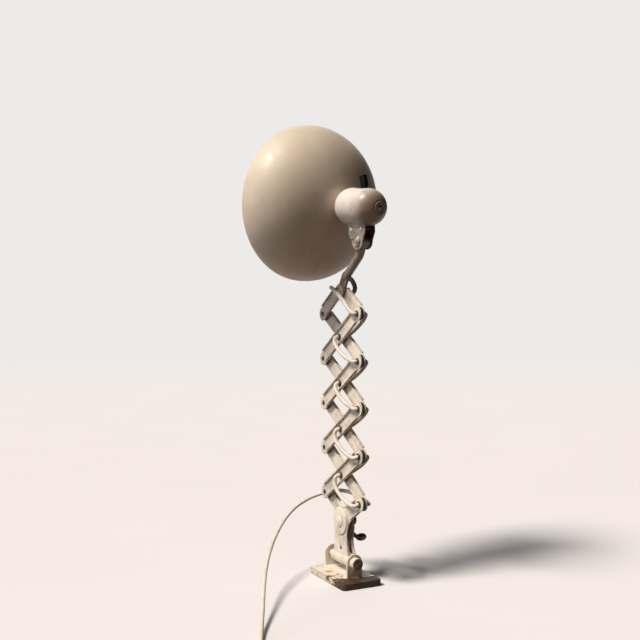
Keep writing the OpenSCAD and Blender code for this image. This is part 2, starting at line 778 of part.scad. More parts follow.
module bulb_glass() {
    neck_r = bulb_cap_d / 2 - 1;
    ball_r = bulb_d / 2;
    a1 = 180 - asin(neck_r / ball_r);
    color([0.95, 0.93, 0.88]) at_head() along_x() rotate_extrude() polygon(concat(
        [for (i = [0:bulb_steps]) let (a = a1 * i / bulb_steps) [ball_r * sin(a), glass_x - ball_r * cos(a)]],
        [[neck_r, holder_x - holder_len + 1], [0, holder_x - holder_len + 1]]));
}

// ---- cord ----
function unit(v) = v / norm(v);
function turned(v, about, a) = v * cos(a) + cross(about, v) * sin(a) + about * (about * v) * (1 - cos(a));

// Smooth points through a list chosen by hand, n to each step
function smooth(p, n) = concat([for (i = [0:len(p) - 2], j = [0:n - 1])
    let (a = p[max(i - 1, 0)], b = p[i], c = p[i + 1], d = p[min(i + 2, len(p) - 1)], t = j / n)
    0.5 * (2 * b + (c - a) * t + (2 * a - 5 * b + 4 * c - d) * t * t + (3 * b - a - 3 * c + d) * t * t * t)],
    [p[len(p) - 1]]);

function tangent(p, i) = unit(p[min(i + 1, len(p) - 1)] - p[max(i - 1, 0)]);

// Side directions carried along the path without twisting
function carried(p, i, side) = let (t = tangent(p, i), s = unit(side - t * (side * t)))
    i == len(p) - 1 ? [s] : concat([s], carried(p, i + 1, s));

module tube_along(p, d, sides, side) {
    s = carried(p, 0, side);
    n = len(p);
    points = [for (i = [0:n - 1], j = [0:sides - 1])
        p[i] + turned(s[i], tangent(p, i), 360 * j / sides) * d / 2];
    walls = [for (i = [0:n - 2], j = [0:sides - 1], half = [0, 1])
        let (a = i * sides + j, b = i * sides + (j + 1) % sides)
        half == 0 ? [a, a + sides, b + sides] : [a, b + sides, b]];
    ends = concat([for (j = [1:sides - 2]) [0, j, j + 1]],
        [for (j = [1:sides - 2]) [(n - 1) * sides, (n - 1) * sides + j + 1, (n - 1) * sides + j]]);
    polyhedron(points = points, faces = concat(walls, ends), convexity = 10);
}

// The cord's way round the arm. Each turn comes round the left of a crossing, down the front of the
// back link, through the opening beside the right-hand rivet, and back behind the front link.
cord_out = flange_out + cord_d / 2 + 0.5;
turn_front = [
    [-23, 6.5, -2], [-24, 0, 0], [-15.5, -7.2, 5.7], [-10, -cord_out - 0.8, 2.5], [-5, -cord_out, -6], [2, -cord_out, -13],
    [13, -cord_out + 1.5, -19], [24, -4.5, -26.5]
];
turn_back = [
    [28.6, 1.5, -34], [34, 7.5, -39], [36, cord_out + 2, -46], [27, cord_out + 2, -54],
    [13, cord_out + 1, -60], [-2, cord_out + 0.5, -63], [-16, cord_out + 1.2, -65]
];
last_back = [
    [28.6, 1.5, -34], [33.5, 7.5, -39], [37.5, 12.5, -38.5], [34, cord_out + 3.5, -33.5], [22, cord_out + 3, -28.5],
    [4, cord_out + 2, -27], [-18, cord_out + 2, -28], [-38, cord_out + 1.5, -30]
];
grommet_tip = [
    tube_x + grommet_along * cos(tube_slope) + grommet_reach * cos(grommet_slope), 0,
    tube_z + grommet_along * sin(tube_slope) + grommet_reach * sin(grommet_slope)
];
grommet_way = [cos(grommet_slope), 0, sin(grommet_slope)];
top_loop = [
    grommet_tip + grommet_way * 0.3, grommet_tip + grommet_way * cord_d, [34.5, 3, top_z + 6], [34, 8, top_z - 1],
    [24, cord_out + 1, top_z - 7], [2, cord_out + 1, top_z - 6], [-14, cord_out, top_z - 1]
];
function at_crossing(p, k) = [for (q = p) [q[0], q[1], q[2] + crossing_z(k)]];
arm_route = concat(top_loop,
    [for (k = [stages:-1:2], q = concat(at_crossing(turn_front, k), at_crossing(turn_back, k))) q],
    at_crossing(turn_front, 1), at_crossing(last_back, 1));
arm_path = [for (q = smooth(arm_route, 2)) q + [sleeve_mid, 0, 0]];

module arm_cord() color(cord_white) tube_along(arm_path, cord_d, 6, [0, 0, 1]);

// The stored length: a flat coil of two layers that spirals in along the table and out again on top
coil_at = [262.1, -203];
coil_angle = -114.8;
coil_outer_r = coil_inner_r + coil_pitch * coil_turns / 2;
coil_steps = 24;
rest_z = cord_d / 2 + 0.1;
// Cord between the coil and the plug
tail_len = 24;
function coil_climb(t) = min(1, max(0, (t - coil_turns / 2) * 2 + 0.5));
function coil_point(t) = let (r = coil_inner_r + coil_pitch * abs(t - coil_turns / 2), a = coil_angle + 360 * t)
    [coil_at[0] + r * cos(a), coil_at[1] + r * sin(a), rest_z + coil_pitch * coil_climb(t)];
coil_way = [-sin(coil_angle), cos(coil_angle), 0];
coil_end = coil_point(coil_turns);
plug_z = plug_t / 2 + 0.1;
coil_path = concat([for (i = [0:coil_steps * coil_turns]) coil_point(i / coil_steps)],
    [coil_end + coil_way * tail_len / 3, coil_end + coil_way * tail_len * 2 / 3 - [0, 0, 0.3],
        [coil_end[0], coil_end[1], plug_z] + coil_way * tail_len]);

module cord_coil() color(cord_white) tube_along(coil_path, cord_d, 6, [0, 0, 1]);

// The free lead, from behind the lowest left rivet to the coil; round numbers chosen by hand
lead_route = [
    [-51, 11.4, 119.2], [-62, 8.4, 116], [-72, -1, 111], [-78, -19, 104], [-77, -42, 93], [-66, -65, 79],
    [-44, -89, 63], [-13, -112, 50], [24, -134, 38], [70, -157, 26], [118, -179.5, 14], [149, -194, 7],
    [176, -206.5, 3.2], [200, -217.7, 2.6], [222, -227.9, 2.6]
];
lead_start = leant(arm_path[len(arm_path) - 1]);
lead_gap = 0.5 * unit(lead_start - leant(arm_path[len(arm_path) - 2]));
lead_path = smooth(concat([lead_start + lead_gap], lead_route, [coil_path[0] - 0.3 * unit(coil_path[1] - coil_path[0])]), 2);

module cord_lead() color(cord_white) tube_along(lead_path, cord_d, 8, [0, 0, 1]);

// The least distance between two points of a path that are more than half a turn apart
function least(p, apart) = min([for (i = [0:len(p) - 1 - apart], j = [i + apart:2:len(p) - 1]) norm(p[i] - p[j])]);
echo(coil_least_gap = least(coil_path, coil_steps / 2) - cord_d);
echo(arm_cord_least_gap = least(arm_path, 7) - cord_d);

module coil_tie() {
    mid_r = coil_inner_r + coil_pitch * coil_turns / 4;
    across = coil_pitch * coil_turns / 2 + cord_d + 1;
    high = coil_pitch + cord_d + 0.6;
    color(black) translate([coil_at[0], coil_at[1], 0]) rotate([0, 0, 120]) translate([mid_r, 0, 0])
        difference() {
            translate([-across / 2 - 1, -3, 0]) cube([across + 2, 6, high + 1]);
            translate([-across / 2, -4, -1]) cube([across, 8, high + 1]);
        }
}

// Plug: it lies flat on the table at the coil's outer end
module at_plug() translate([coil_end[0], coil_end[1], plug_z]) rotate([0, 0, coil_angle + 90]) children();

module plug_body() {
    color(black) at_plug() {
        translate([tail_len + 0.35, 0, 0]) along_x() cylinder(d1 = cord_d + 2, d2 = plug_t - 2, h = 20 - 0.35 + eps);
        translate([tail_len + 20, -plug_w / 2, -plug_t / 2]) cube([plug_len, plug_w, plug_t]);
    }
}

module plug_pins() {
    color(steel) at_plug() for (s = [-1, 1])
        bar_x(s * 9.5, 0, 4, tail_len + 20 + plug_len, tail_len + 39 + plug_len);
}

base_plate();
base_bracket();
hinge_pin();
leaning() stem_front_cheek();
leaning() stem_back_cheek();
leaning() stem_rivet();
leaning() boss_plate();
leaning() clamp_bolt();
leaning() clamp_lever();
leaning() hub_washer();
for (k = [0:stages]) {
    leaning() link_a(k);
    leaning() link_b(k);
    leaning() rivets_a(k);
    leaning() washers_a(k);
}
leaning() neck_tab();
leaning() neck_tube();
leaning() neck_screw();
leaning() cord_grommet();
leaning() swivel_block();
leaning() knuckle_front_plate();
leaning() knuckle_back_plate();
leaning() knuckle_rivets();
leaning() knuckle_screw();
leaning() housing_rear_shell();
leaning() housing_cap();
leaning() cap_screw();
leaning() switch_body();
leaning() switch_toggle();
leaning() shade();
leaning() shade_ring();
leaning() lampholder();
leaning() bulb_cap();
leaning() bulb_glass();
leaning() arm_cord();
cord_lead();
cord_coil();
coil_tie();
plug_body();
plug_pins();
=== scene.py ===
"""Accordion desk lamp: the dressed model over its measured frame, in metres."""

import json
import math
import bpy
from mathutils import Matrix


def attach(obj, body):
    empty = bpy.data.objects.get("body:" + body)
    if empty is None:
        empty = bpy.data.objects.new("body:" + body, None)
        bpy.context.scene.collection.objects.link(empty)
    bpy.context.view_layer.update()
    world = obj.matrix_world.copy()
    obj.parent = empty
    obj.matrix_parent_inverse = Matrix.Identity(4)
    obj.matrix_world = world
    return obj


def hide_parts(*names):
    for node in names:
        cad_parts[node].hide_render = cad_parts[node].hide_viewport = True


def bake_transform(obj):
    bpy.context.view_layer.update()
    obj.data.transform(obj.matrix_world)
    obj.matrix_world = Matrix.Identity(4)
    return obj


bl_info = {
    "name": "Accordion desk lamp",
    "version": (1, 0, 0),
    "blender": (4, 5, 0),
    "location": "3D View > Sidebar > Desk lamp",
    "description": "Enamelled desk lamp with a scissor arm, a wide dome shade and its wound flex",
    "category": "Object",
}

import bpy
from mathutils import Matrix, Vector

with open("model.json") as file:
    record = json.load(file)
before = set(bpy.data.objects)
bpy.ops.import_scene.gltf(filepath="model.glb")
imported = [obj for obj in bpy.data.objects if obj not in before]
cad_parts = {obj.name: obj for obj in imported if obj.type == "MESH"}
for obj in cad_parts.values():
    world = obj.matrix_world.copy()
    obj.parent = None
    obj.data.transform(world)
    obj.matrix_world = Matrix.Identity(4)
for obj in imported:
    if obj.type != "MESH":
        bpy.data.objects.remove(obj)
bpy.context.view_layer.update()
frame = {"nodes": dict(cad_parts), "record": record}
BODIES = {node: body for body, nodes in frame["record"]["behaviour"]["bodies"].items() for node in nodes}


# ---------------------------------------------------------------- sizes and colours

def length(name, about, metres):
    return bpy.props.FloatProperty(name=name, description=about, default=metres, unit="LENGTH")


def paint(name, about, colour):
    return bpy.props.FloatVectorProperty(name=name, description=about, default=colour, subtype="COLOR", min=0, max=1)


class LampSizes(bpy.types.PropertyGroup):
    """Sizes that the dressed pieces share"""

    lean: bpy.props.FloatProperty(name="Lean", description="Lean of the arm out of plumb about the hinge pin",
                                  default=math.radians(0.8), subtype="ANGLE")
    pin_z: length("Pin height", "Height of the hinge pin over the table", 0.030)
    sheet_round: length("Sheet edge", "Rounding of the pressed sheet's cut edges", 0.00032)
    shade_r: length("Shade radius", "Outer radius of the shade's rim", 0.115)
    shade_depth: length("Shade depth", "Depth of the dome", 0.087)
    shade_wall: length("Shade wall", "Thickness of the spun sheet", 0.0012)
    housing_r: length("Housing radius", "Radius of the lamp housing", 0.026)
    housing_half: length("Housing half length", "From the middle to the centre of a round end", 0.016)
    cord_d: length("Flex", "Diameter of the mains flex", 0.005)
    sleeve_d: length("Sleeved flex", "Diameter of the flex and its sheath on the arm", 0.0058)


class LampColours(bpy.types.PropertyGroup):
    """Colours of the finishes"""

    enamel: paint("Arm enamel", "Cream enamel on the pressed sheet", (0.84, 0.755, 0.655))
    shade_enamel: paint("Shade enamel", "Satin cream on the shade", (0.76, 0.655, 0.53))
    housing_enamel: paint("Housing enamel", "Cream on the lamp housing", (0.80, 0.74, 0.69))
    plate_enamel: paint("Plate enamel", "Cream on the heavy base plate", (0.82, 0.72, 0.60))
    bare: paint("Bared metal", "Browned metal under chipped enamel", (0.055, 0.035, 0.026))
    flex: paint("Flex", "Off-white sheath of the mains flex", (0.74, 0.69, 0.62))
    backdrop: paint("Backdrop", "Pale floor and backdrop", (0.775, 0.765, 0.80))


def sizes():
    return bpy.context.scene.lamp_sizes


def colours():
    return bpy.context.scene.lamp_colours


# ---------------------------------------------------------------- places

# In millimetres, before the lean
ARM_Z, LINK_HALF, FOLD, STAGES = 84.5, 62.3, math.radians(32.3), 5
STAGE = 2 * LINK_HALF * math.sin(FOLD)
SIDE_X = LINK_HALF * math.cos(FOLD)
TOP_Z = ARM_Z + STAGES * STAGE
FLANGE_OUT = 6.675
TUBE_D, TUBE_X, TUBE_Z, TUBE_RUN = 12, 14.7, TOP_Z + 18.9, 44.6
TUBE_SLOPE, TUBE_END_SLOPE, TUBE_BEND_R = 35, 78, 25
BLOCK_RISE, KNUCKLE_RISE, SWIVEL, PITCH = 7, 47.5, 11, 8
SEAT_X, SHADE_X = 35, -35.3


def mm(*v):
    return Vector(v) * 0.001


def turn(axis, degrees):
    return Matrix.Rotation(math.radians(degrees), 4, axis)


def shift(x, y, z):
    return Matrix.Translation(mm(x, y, z))


def lean_frame():
    s = sizes()
    up = Matrix.Translation((0, 0, s.pin_z))
    return up @ Matrix.Rotation(s.lean, 4, "X") @ up.inverted()


def tube_bend():
    c, s = math.cos(math.radians(TUBE_SLOPE)), math.sin(math.radians(TUBE_SLOPE))
    start = (TUBE_X + TUBE_RUN * c, TUBE_Z + TUBE_RUN * s)
    return start[0] - TUBE_BEND_R * s, start[1] + TUBE_BEND_R * c


def on_bend(degrees):
    cx, cz = tube_bend()
    a = math.radians(degrees)
    return cx + TUBE_BEND_R * math.sin(a), cz - TUBE_BEND_R * math.cos(a)


def swivel_frame():
    x, z = on_bend(TUBE_END_SLOPE)
    return lean_frame() @ shift(x, 0, z) @ turn("Y", 90 - TUBE_END_SLOPE) @ turn("Z", SWIVEL)


def knuckle_frame():
    return swivel_frame() @ shift(0, 0, BLOCK_RISE) @ turn("Y", TUBE_END_SLOPE - 90)


def head_frame():
    return knuckle_frame() @ shift(0, 0, KNUCKLE_RISE) @ turn("Y", PITCH)


# ---------------------------------------------------------------- making meshes

def mode(name):
    bpy.ops.object.mode_set(mode=name)


def apply_transform():
    bpy.ops.object.transform_apply(location=True, rotation=True, scale=True)


def clear():
    if bpy.context.object and bpy.context.object.mode != "OBJECT":
        mode("OBJECT")
    bpy.ops.object.select_all(action="DESELECT")


def take(obj):
    clear()
    obj.select_set(True)
    bpy.context.view_layer.objects.active = obj
    return obj


def named(obj, name):
    obj.name = name
    obj.data.name = name
    return obj


def add_modifier(obj, kind, **settings):
    take(obj)
    modifier = obj.modifiers.new(kind.title(), kind)
    for key, value in settings.items():
        setattr(modifier, key, value)
    bpy.ops.object.modifier_apply(modifier=modifier.name)


def soften(obj, width, segments=2, angle=32):
    add_modifier(obj, "BEVEL", width=width, segments=segments, limit_method="ANGLE",
                 angle_limit=math.radians(angle), harden_normals=False, use_clamp_overlap=True)
    smooth(obj, angle)


def smooth(obj, angle=32):
    take(obj)
    bpy.ops.object.shade_smooth_by_angle(angle=math.radians(angle))


def settle(obj, matrix):
    """Lay the piece in its place and leave its object at the origin"""
    take(obj)
    obj.matrix_world = matrix @ obj.matrix_world
    apply_transform()


def outward(obj):
    take(obj)
    mode("EDIT")
    bpy.ops.mesh.select_all(action="SELECT")
    bpy.ops.mesh.remove_doubles(threshold=0.000004)
    bpy.ops.mesh.normals_make_consistent(inside=False)
    mode("OBJECT")


def turned(name, outline, steps=96, closed=False):
    """A piece turned round the X axis from an outline of (place, radius) in millimetres"""
    clear()
    x, r = outline[0]
    bpy.ops.mesh.primitive_plane_add(size=0.001, location=mm(x, 0, r))
    obj = bpy.context.object
    apply_transform()
    mode("EDIT")
    bpy.ops.mesh.select_all(action="SELECT")
    bpy.ops.mesh.merge(type="CENTER")
    for (x0, r0), (x1, r1) in zip(outline, outline[1:]):
        bpy.ops.mesh.extrude_region_move(TRANSFORM_OT_translate={"value": mm(x1 - x0, 0, r1 - r0)})
    if closed:
        bpy.ops.mesh.extrude_region_move(TRANSFORM_OT_translate={
            "value": mm(outline[0][0] - outline[-1][0], 0, outline[0][1] - outline[-1][1])})
    bpy.ops.mesh.select_all(action="SELECT")
    bpy.ops.mesh.remove_doubles(threshold=0.000002)
    bpy.ops.mesh.select_all(action="SELECT")
    bpy.ops.mesh.spin(steps=steps, angle=2 * math.pi, center=(0, 0, 0), axis=(1, 0, 0))
    mode("OBJECT")
    outward(obj)
    return named(obj, name)


def cut(obj, x, y, z):
    """Take a box-shaped opening out of a piece, in millimetres; y and z and x are (from, to)"""
    clear()
    bpy.ops.mesh.primitive_cube_add(size=1, location=mm(sum(x) / 2, sum(y) / 2, sum(z) / 2))
    tool = bpy.context.object
    tool.scale = mm(x[1] - x[0], y[1] - y[0], z[1] - z[0])
    apply_transform()
    add_modifier(obj, "BOOLEAN", operation="DIFFERENCE", object=tool, solver="EXACT")
    bpy.data.objects.remove(tool)


def bored(obj, x, y, d, z0, z1):
    """Take a round hole out of a piece along Z, in millimetres"""
    clear()
    bpy.ops.mesh.primitive_cylinder_add(vertices=48, radius=d / 2000, depth=(z1 - z0) / 1000,
                                        location=mm(x, y, (z0 + z1) / 2))
    tool = bpy.context.object
    add_modifier(obj, "BOOLEAN", operation="DIFFERENCE", object=tool, solver="EXACT")
    bpy.data.objects.remove(tool)


def copy_of(node, name):
    """A merged copy of a measured node, ready to be finished"""
    mesh = frame["nodes"][node].data.copy()
    obj = bpy.data.objects.new(name, mesh)
    mesh.name = name
    bpy.context.scene.collection.objects.link(obj)
    take(obj)
    obj.data.materials.clear()
    if obj.data.has_custom_normals:
        bpy.ops.mesh.customdata_custom_splitnormals_clear()
    mode("EDIT")
    bpy.ops.mesh.select_all(action="SELECT")
    bpy.ops.mesh.remove_doubles(threshold=0.00001)
    bpy.ops.mesh.dissolve_limited(angle_limit=math.radians(0.6))
    mode("OBJECT")
    return obj


def finish_piece(obj, node, look):
    """Paint a piece, let it ride with its node's body and stand for its node"""
    obj.data.materials.clear()
    obj.data.materials.append(finish(look))
    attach(obj, BODIES[node])
    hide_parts(node)
    return obj


def dressed(node, look, width=None, segments=2, angle=32):
    """The measured node with its edges rounded and its finish on"""
    obj = copy_of(node, node + "_dressed")
    soften(obj, sizes().sheet_round if width is None else width, segments, angle)
    return finish_piece(obj, node, look)


# ---------------------------------------------------------------- finishes

FLOAT, COLOR = "NodeSocketFloat", "NodeSocketColor"


def group(name, inputs, outputs):
    tree = bpy.data.node_groups.new(name, "ShaderNodeTree")
    for label, kind, default in inputs:
        socket = tree.interface.new_socket(name=label, in_out="INPUT", socket_type=kind)
        socket.default_value = default
    for label, kind in outputs:
        tree.interface.new_socket(name=label, in_out="OUTPUT", socket_type=kind)
    return tree, tree.nodes.new("NodeGroupInput"), tree.nodes.new("NodeGroupOutput")


def put(tree, kind, **values):
    """A shader node; a value is set on its setting or on its input, or linked when it is a socket"""
    node = tree.nodes.new(kind)
    for key, value in values.items():
        if hasattr(node, key) and key not in node.inputs:
            setattr(node, key, value)
            continue
        numbered = key[0] == "i" and key[1:].isdigit()
        socket = node.inputs[int(key[1:]) if numbered else key.replace("_", " ")]
        if isinstance(value, bpy.types.NodeSocket):
            tree.links.new(value, socket)
        else:
            socket.default_value = value
    return node


def maths(tree, operation, a, b=0.0, clamp=False):
    return put(tree, "ShaderNodeMath", operation=operation, use_clamp=clamp, i0=a, i1=b).outputs[0]


def blendc(tree, factor, a, b):
    node = tree.nodes.new("ShaderNodeMix")
    node.data_type = "RGBA"
    for label, value in (("Factor", factor), ("A", a), ("B", b)):
        socket = next(s for s in node.inputs if s.name == label and s.enabled)
        if isinstance(value, bpy.types.NodeSocket):
            tree.links.new(value, socket)
        else:
            socket.default_value = value
    return next(s for s in node.outputs if s.enabled)


def ramp(tree, value, low, high, to_low=0.0, to_high=1.0):
    return put(tree, "ShaderNodeMapRange", interpolation_type="SMOOTHSTEP", clamp=True, Value=value, From_Min=low,
               From_Max=high, To_Min=to_low, To_Max=to_high).outputs[0]


def noise(tree, where, scale, detail=4.0, rough=0.55, distortion=0.0):
    return put(tree, "ShaderNodeTexNoise", Vector=where, Scale=scale, Detail=detail, Roughness=rough,
               Distortion=distortion).outputs["Fac"]


def edge_wear_group():
    """How near a sharp edge the surface is, broken up as knocks break it"""
    tree, inp, out = group("Knocked edges", [
        ("Reach", FLOAT, 0.0012), ("Amount", FLOAT, 0.5), ("Grain", FLOAT, 260.0)],
        [("Mask", FLOAT)])
    where = put(tree, "ShaderNodeTexCoord").outputs["Object"]
    plain = put(tree, "ShaderNodeNewGeometry").outputs["Normal"]
    soft = put(tree, "ShaderNodeBevel", samples=6, Radius=inp.outputs["Reach"]).outputs[0]
    same = put(tree, "ShaderNodeVectorMath", operation="DOT_PRODUCT", i0=plain, i1=soft).outputs["Value"]
    near = ramp(tree, maths(tree, "SUBTRACT", 1.0, same), 0.004, 0.16)
    broken = noise(tree, where, inp.outputs["Grain"], 6.0, 0.65)
    patch = noise(tree, where, 46.0, 3.0, 0.5)
    level = maths(tree, "MULTIPLY", near, maths(tree, "ADD", broken, maths(tree, "MULTIPLY", patch, 0.8)))
    edge = maths(tree, "SUBTRACT", 1.05, inp.outputs["Amount"])
    tree.links.new(ramp(tree, maths(tree, "SUBTRACT", level, edge), -0.04, 0.06), out.inputs["Mask"])
    return tree


def enamel_group(wear):
    """Aged enamel: uneven cream, stains, pinholes and chips down to browned metal"""
    tree, inp, out = group("Aged enamel", [
        ("Enamel", COLOR, (0.66, 0.57, 0.45, 1)), ("Stain", COLOR, (0.36, 0.27, 0.19, 1)),
        ("Metal", COLOR, (0.05, 0.035, 0.026, 1)), ("Stains", FLOAT, 0.3),
        ("Chips", FLOAT, 0.3), ("Chip Size", FLOAT, 140.0),
        ("Edge Reach", FLOAT, 0.0012), ("Edge Wear", FLOAT, 0.45),
        ("Gloss Roughness", FLOAT, 0.36)],
        [("Color", COLOR), ("Roughness", FLOAT), ("Bared", FLOAT),
         ("Height", FLOAT)])
    where = put(tree, "ShaderNodeTexCoord").outputs["Object"]
    cloud = noise(tree, where, 14.0, 5.0, 0.6, 0.4)
    fine = noise(tree, where, 95.0, 6.0, 0.62)
    speck = noise(tree, where, inp.outputs["Chip Size"], 8.0, 0.7, 0.25)
    where_chips = noise(tree, where, 24.0, 3.0, 0.5)
    tone = blendc(tree, ramp(tree, cloud, 0.30, 0.72), inp.outputs["Enamel"],
                  blendc(tree, 0.22, inp.outputs["Enamel"], inp.outputs["Stain"]))
    grime = maths(tree, "MULTIPLY", fine, maths(tree, "ADD", cloud, 0.5))
    dirt = maths(tree, "MULTIPLY", ramp(tree, grime, 0.42, 0.74), inp.outputs["Stains"])
    tone = blendc(tree, dirt, tone, inp.outputs["Stain"])
    edges = put(tree, "ShaderNodeGroup", node_tree=wear)
    tree.links.new(inp.outputs["Edge Reach"], edges.inputs["Reach"])
    tree.links.new(inp.outputs["Edge Wear"], edges.inputs["Amount"])
    level = maths(tree, "SUBTRACT", 1.12, maths(tree, "MULTIPLY", inp.outputs["Chips"], 0.5))
    pitted = maths(tree, "ADD", speck, maths(tree, "MULTIPLY", where_chips, 0.45))
    spots = ramp(tree, maths(tree, "SUBTRACT", pitted, level), -0.012, 0.02)
    bared = maths(tree, "MAXIMUM", spots, edges.outputs["Mask"])
    rust = blendc(tree, ramp(tree, fine, 0.35, 0.65), inp.outputs["Metal"],
                  blendc(tree, 0.5, inp.outputs["Metal"], (0.16, 0.075, 0.035, 1)))
    tree.links.new(blendc(tree, bared, tone, rust), out.inputs["Color"])
    gloss = maths(tree, "ADD", inp.outputs["Gloss Roughness"], ramp(tree, fine, 0.3, 0.75, -0.05, 0.12))
    rough = put(tree, "ShaderNodeMix", data_type="FLOAT")
    tree.links.new(bared, rough.inputs[0])
    tree.links.new(gloss, rough.inputs[2])
    rough.inputs[3].default_value = 0.62
    tree.links.new(rough.outputs[0], out.inputs["Roughness"])
    tree.links.new(bared, out.inputs["Bared"])
    dent = maths(tree, "ADD", maths(tree, "MULTIPLY", cloud, 0.35), maths(tree, "MULTIPLY", fine, 0.10))
    tree.links.new(maths(tree, "SUBTRACT", dent, maths(tree, "MULTIPLY", bared, 0.6)), out.inputs["Height"])
    return tree


def metal_group(wear):
    """Handled metal: brushed, spotted, brighter on its edges"""
    tree, inp, out = group("Handled metal", [
        ("Metal", COLOR, (0.5, 0.49, 0.46, 1)), ("Tarnish", COLOR, (0.16, 0.12, 0.09, 1)),
        ("Tarnished", FLOAT, 0.4), ("Base Roughness", FLOAT, 0.34),
        ("Edge Shine", FLOAT, 0.5)],
        [("Color", COLOR), ("Roughness", FLOAT), ("Height", FLOAT)])
    where = put(tree, "ShaderNodeTexCoord").outputs["Object"]
    cloud = noise(tree, where, 90.0, 5.0, 0.6, 0.5)
    fine = noise(tree, where, 900.0, 4.0, 0.6)
    dull = maths(tree, "MULTIPLY", ramp(tree, cloud, 0.34, 0.68), inp.outputs["Tarnished"])
    edges = put(tree, "ShaderNodeGroup", node_tree=wear, Reach=0.0008, Amount=0.62, Grain=420.0)
    shine = maths(tree, "MULTIPLY", edges.outputs["Mask"], inp.outputs["Edge Shine"])
    tone = blendc(tree, dull, inp.outputs["Metal"], inp.outputs["Tarnish"])
    tone = blendc(tree, shine, tone, (0.62, 0.58, 0.52, 1))
    tree.links.new(tone, out.inputs["Color"])
    rough = maths(tree, "ADD", inp.outputs["Base Roughness"], maths(tree, "MULTIPLY", dull, 0.3))
    rough = maths(tree, "ADD", rough, ramp(tree, fine, 0.3, 0.7, -0.05, 0.08), True)
    tree.links.new(rough, out.inputs["Roughness"])
    tree.links.new(maths(tree, "ADD", maths(tree, "MULTIPLY", cloud, 0.3), maths(tree, "MULTIPLY", fine, 0.2)),
                   out.inputs["Height"])
    return tree


def moulded_group():
    """Moulded or pressed stuff with a fine skin: plastic, fibre and the sheath of the flex"""
    tree, inp, out = group("Moulded skin", [
        ("Colour", COLOR, (0.03, 0.03, 0.03, 1)), ("Dust", COLOR, (0.3, 0.27, 0.23, 1)),
        ("Dusty", FLOAT, 0.15), ("Base Roughness", FLOAT, 0.45),
        ("Grain", FLOAT, 1200.0)],
        [("Color", COLOR), ("Roughness", FLOAT), ("Height", FLOAT)])
    where = put(tree, "ShaderNodeTexCoord").outputs["Object"]
    cloud = noise(tree, where, 60.0, 5.0, 0.6, 0.4)
    fine = noise(tree, where, inp.outputs["Grain"], 3.0, 0.6)
    dusty = maths(tree, "MULTIPLY", ramp(tree, cloud, 0.38, 0.7), inp.outputs["Dusty"])
    tree.links.new(blendc(tree, dusty, inp.outputs["Colour"], inp.outputs["Dust"]), out.inputs["Color"])
    tree.links.new(maths(tree, "ADD", inp.outputs["Base Roughness"], ramp(tree, cloud, 0.3, 0.7, -0.06, 0.12), True),
                   out.inputs["Roughness"])
    tree.links.new(fine, out.inputs["Height"])
    return tree


def shell(name, tree_name, depth, values):
    """A material whose surface comes from a shared group; depth is its relief in metres"""
    material = bpy.data.materials.new(name)
    material.use_nodes = True
    tree = material.node_tree
    bsdf = tree.nodes["Principled BSDF"]
    made = tree.nodes.new("ShaderNodeGroup")
    made.node_tree = bpy.data.node_groups[tree_name]
    for label, value in values.items():
        if label in made.inputs:
            made.inputs[label].default_value = (*value, 1) if isinstance(value, tuple) else value
        else:
            bsdf.inputs[label].default_value = value
    tree.links.new(made.outputs["Color"], bsdf.inputs["Base Color"])
    tree.links.new(made.outputs["Roughness"], bsdf.inputs["Roughness"])
    bump = put(tree, "ShaderNodeBump", Strength=0.6, Distance=depth, Height=made.outputs["Height"])
    tree.links.new(bump.outputs[0], bsdf.inputs["Normal"])
    return material


def wear_and_shade_along(material, label, way, low, high, least, most):
    """Let an input of a finish's group change along a direction, from one place in metres to another; it grades real
    chipping on the plate and painted shade on the housing cap
    """
    tree = material.node_tree
    made = next(node for node in tree.nodes if node.type == "GROUP")
    where = put(tree, "ShaderNodeTexCoord").outputs["Object"]
    along = put(tree, "ShaderNodeVectorMath", operation="DOT_PRODUCT", i0=where, i1=tuple(way)).outputs["Value"]
    if isinstance(least, tuple):
        level = blendc(tree, ramp(tree, along, low, high), (*least, 1), (*most, 1))
    else:
        level = ramp(tree, along, low, high, least, most)
    tree.links.new(level, made.inputs[label])


# Each row: its material's name, its relief in metres and the values of its kind's labels
ENAMEL_LABELS = ("Enamel", "Stain", "Stains", "Chips", "Chip Size", "Edge Reach", "Edge Wear", "Gloss Roughness")
ENAMELS = {
    "sheet": ("Arm enamel", 0.00025, "enamel", (0.30, 0.22, 0.155), 0.45, 0.32, 150, 0.0014, 0.62, 0.40),
    "plate": ("Plate enamel", 0.0004, "plate_enamel", (0.20, 0.125, 0.08), 0.6, 0.50, 90, 0.003, 0.70, 0.42),
    "housing": ("Housing enamel", 0.0002, "housing_enamel", (0.34, 0.25, 0.18), 0.25, 0.14, 170, 0.0010, 0.45, 0.32),
    # The cap's darker, heavier stain and the brown grading in the housing step paint shade onto its end and underside.
    "cap": ("Cap enamel", 0.0002, "housing_enamel", (0.24, 0.165, 0.115), 0.45, 0.16, 170, 0.0010, 0.45, 0.38),
    "shade": ("Shade enamel", 0.00030, "shade_enamel", (0.36, 0.28, 0.20), 0.10, 0.04, 160, 0.0010, 0.40, 0.43),
    # The neck's brown-grey is painted shadow: the cream tube and tab lie in the shade's shadow.
    "neck": ("Neck enamel", 0.0002, (0.36, 0.29, 0.235), (0.13, 0.09, 0.07), 0.6, 0.30, 150, 0.0010, 0.45, 0.38),
    # Painted shade: the pin's outer end face, turned from the key light, is painted dark brown.
    "worn": ("Worn end", 0.00025, (0.23, 0.155, 0.10), (0.08, 0.05, 0.035), 0.8, 0.75, 110, 0.002, 0.6, 0.45),
    "inside": ("Shade inside", 0.0002, (0.80, 0.77, 0.71), (0.5, 0.43, 0.34), 0.25, 0.12, 120, 0.0010, 0.30, 0.30),
    "knob": ("Worn knob", 0.00025, "enamel", (0.20, 0.13, 0.09), 0.6, 0.45, 120, 0.0022, 0.7, 0.42),
}
METAL_LABELS = ("Metal", "Tarnish", "Tarnished", "Base Roughness", "Edge Shine", "Metallic")
